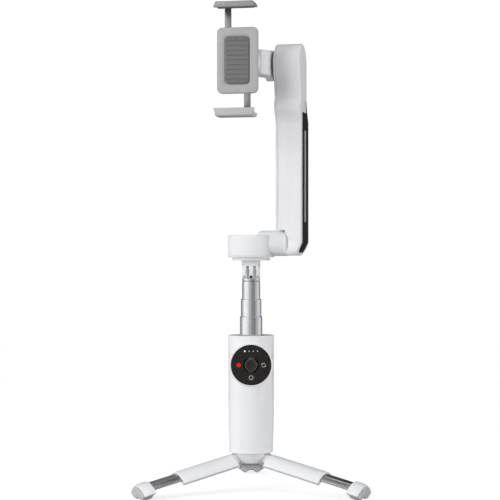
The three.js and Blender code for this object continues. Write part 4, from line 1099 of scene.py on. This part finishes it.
def build_floor():
    floor = bpy.data.objects.new("floor", bpy.data.meshes.new("floor"))
    sheet = bmesh.new()
    bmesh.ops.create_circle(sheet, cap_ends=True, segments=96, radius=FLOOR_RADIUS)
    sheet.to_mesh(floor.data)
    sheet.free()
    floor.location.z = -0.0002
    bpy.context.collection.objects.link(floor)
    look = Look("floor", "stage", FLOOR_COLOUR, 0.8)
    look.vary_colour(look.noise(4, 2), 0.004)
    look.vary_roughness(look.noise(30, 2), 0.05)
    fade_to_backdrop(look)
    floor.visible_glossy = False
    floor.data.materials.append(look.material)


def fade_to_backdrop(look):
    """Lets the floor turn into the backdrop's white away from the object."""
    nodes, links = look.nodes, look.links
    length = nodes.new("ShaderNodeVectorMath")
    length.operation = "LENGTH"
    ramp = nodes.new("ShaderNodeMapRange")
    ramp.inputs["From Min"].default_value = 0.25
    ramp.inputs["From Max"].default_value = 1.1
    path = nodes.new("ShaderNodeLightPath")
    glow = nodes.new("ShaderNodeEmission")
    far = nodes.new("ShaderNodeMath")
    far.operation = "MULTIPLY_ADD"
    far.inputs[1].default_value = 1 - FLOOR_FAR
    far.inputs[2].default_value = FLOOR_FAR
    links.new(path.outputs["Is Camera Ray"], far.inputs[0])
    links.new(far.outputs[0], glow.inputs["Strength"])
    mix = nodes.new("ShaderNodeMixShader")
    lift = nodes.new("ShaderNodeMath")
    lift.operation = "MULTIPLY"
    lift.inputs[1].default_value = FLOOR_GLOW
    links.new(path.outputs["Is Camera Ray"], lift.inputs[0])
    look.shader.inputs["Emission Color"].default_value = (1, 1, 1, 1)
    links.new(lift.outputs[0], look.shader.inputs["Emission Strength"])
    links.new(look.place, length.inputs[0])
    links.new(length.outputs["Value"], ramp.inputs["Value"])
    links.new(ramp.outputs["Result"], mix.inputs["Fac"])
    links.new(look.shader.outputs["BSDF"], mix.inputs[1])
    links.new(glow.outputs["Emission"], mix.inputs[2])
    links.new(mix.outputs["Shader"], nodes["Material Output"].inputs["Surface"])


# What stands round the object: degrees to the right of the camera, and brightness.
REFLECTION_BANDS = (
    (-180, 0.2), (-150, 0.25), (-110, 0.5), (-84, 1.1), (-50, 1.0), (-12, 0.5), (12, 0.3), (39, 0.25),
    (60, 0.5), (102, 0.8), (125, 0.5), (150, 0.04), (165, 0.04), (180, 0.2),
)


WORLD_STRENGTH = 1.0


def build_world():
    """White for the camera, and upright bands of light for everything else."""
    world = bpy.data.worlds.new("studio")
    bpy.context.scene.world = world
    world.use_nodes = True
    nodes, links = world.node_tree.nodes, world.node_tree.links
    nodes.clear()
    direction = nodes.new("ShaderNodeTexCoord").outputs["Generated"]
    parts = nodes.new("ShaderNodeSeparateXYZ")
    links.new(direction, parts.inputs["Vector"])
    away = nodes.new("ShaderNodeMath")
    away.operation = "MULTIPLY"
    away.inputs[1].default_value = -1
    links.new(parts.outputs["Y"], away.inputs[0])
    angle = nodes.new("ShaderNodeMath")
    angle.operation = "ARCTAN2"
    links.new(parts.outputs["X"], angle.inputs[0])
    links.new(away.outputs[0], angle.inputs[1])
    share = nodes.new("ShaderNodeMapRange")
    share.inputs["From Min"].default_value = -math.pi
    share.inputs["From Max"].default_value = math.pi
    links.new(angle.outputs[0], share.inputs["Value"])
    bands = nodes.new("ShaderNodeValToRGB")
    bands.color_ramp.interpolation = "EASE"
    stops = bands.color_ramp.elements
    for index, (degrees, level) in enumerate(REFLECTION_BANDS):
        place = (degrees + 180) / 360
        stop = stops[index] if index < 1 else (stops.new(place) if index < len(REFLECTION_BANDS) - 1 else stops[-1])
        stop.position = place
        stop.color = (level, level, level, 1)
    links.new(share.outputs["Result"], bands.inputs["Fac"])
    around = nodes.new("ShaderNodeBackground")
    links.new(bands.outputs["Color"], around.inputs["Color"])
    around.inputs["Strength"].default_value = WORLD_STRENGTH
    seen = nodes.new("ShaderNodeBackground")
    seen.inputs["Color"].default_value = (1, 1, 1, 1)
    seen.inputs["Strength"].default_value = 1.02
    camera = nodes.new("ShaderNodeMixShader")
    links.new(nodes.new("ShaderNodeLightPath").outputs["Is Camera Ray"], camera.inputs["Fac"])
    links.new(around.outputs[0], camera.inputs[1])
    links.new(seen.outputs[0], camera.inputs[2])
    output = nodes.new("ShaderNodeOutputWorld")
    links.new(camera.outputs[0], output.inputs["Surface"])


def area_light(name, place, size, watts):
    light = bpy.data.lights.new(name, "AREA")
    light.shape = "RECTANGLE"
    light.size, light.size_y = size
    light.energy = watts
    lamp = bpy.data.objects.new(name, light)
    lamp.location = place
    aim = Vector((0, 0, 0.2)) - Vector(place)
    lamp.rotation_euler = aim.to_track_quat("-Z", "Y").to_euler()
    lamp.visible_glossy = False
    bpy.context.collection.objects.link(lamp)


def build_camera():
    camera = bpy.data.objects.new("camera", bpy.data.cameras.new("camera"))
    camera.data.lens = LENS
    camera.data.sensor_width = SENSOR
    camera.location = Vector((CAMERA_SIDE, axis_y - CAMERA_DISTANCE, CAMERA_HEIGHT)) * MM
    camera.rotation_euler = (math.pi / 2, 0, 0)
    bpy.context.collection.objects.link(camera)
    bpy.context.scene.camera = camera


def build_studio():
    build_floor()
    build_world()
    area_light("key", (-1.5, -1.1, 0.55), (1.0, 1.2), 19)
    area_light("fill", (1.4, -1.0, 0.35), (1.0, 1.0), 13)
    build_camera()
    bpy.context.scene.view_settings.view_transform = "Standard"


# --------------------------------------------------------------------------------------------------
# The whole stabilizer
# --------------------------------------------------------------------------------------------------

dress_frame()
build_handle_body()
build_port()
build_power_button()
build_trigger()
build_touch_disc()
build_joystick()
for section, tube_wall in (("lower", 0.6), ("middle", 0.6), ("upper", 0.7)):
    build_rod_section(section, tube_wall)
build_yoke()
build_fork()
build_pan_motor()
build_arm()
build_inlay()
build_tilt_bracket()
build_roll_motor()
build_clamp_body()
build_jaws()
build_hub()
for leg_side in SIDES:
    leg = leg_place(leg_side)
    build_sleeve(leg_side, leg)
    build_bar(leg_side, leg)
    build_foot(leg_side, leg)
build_studio()
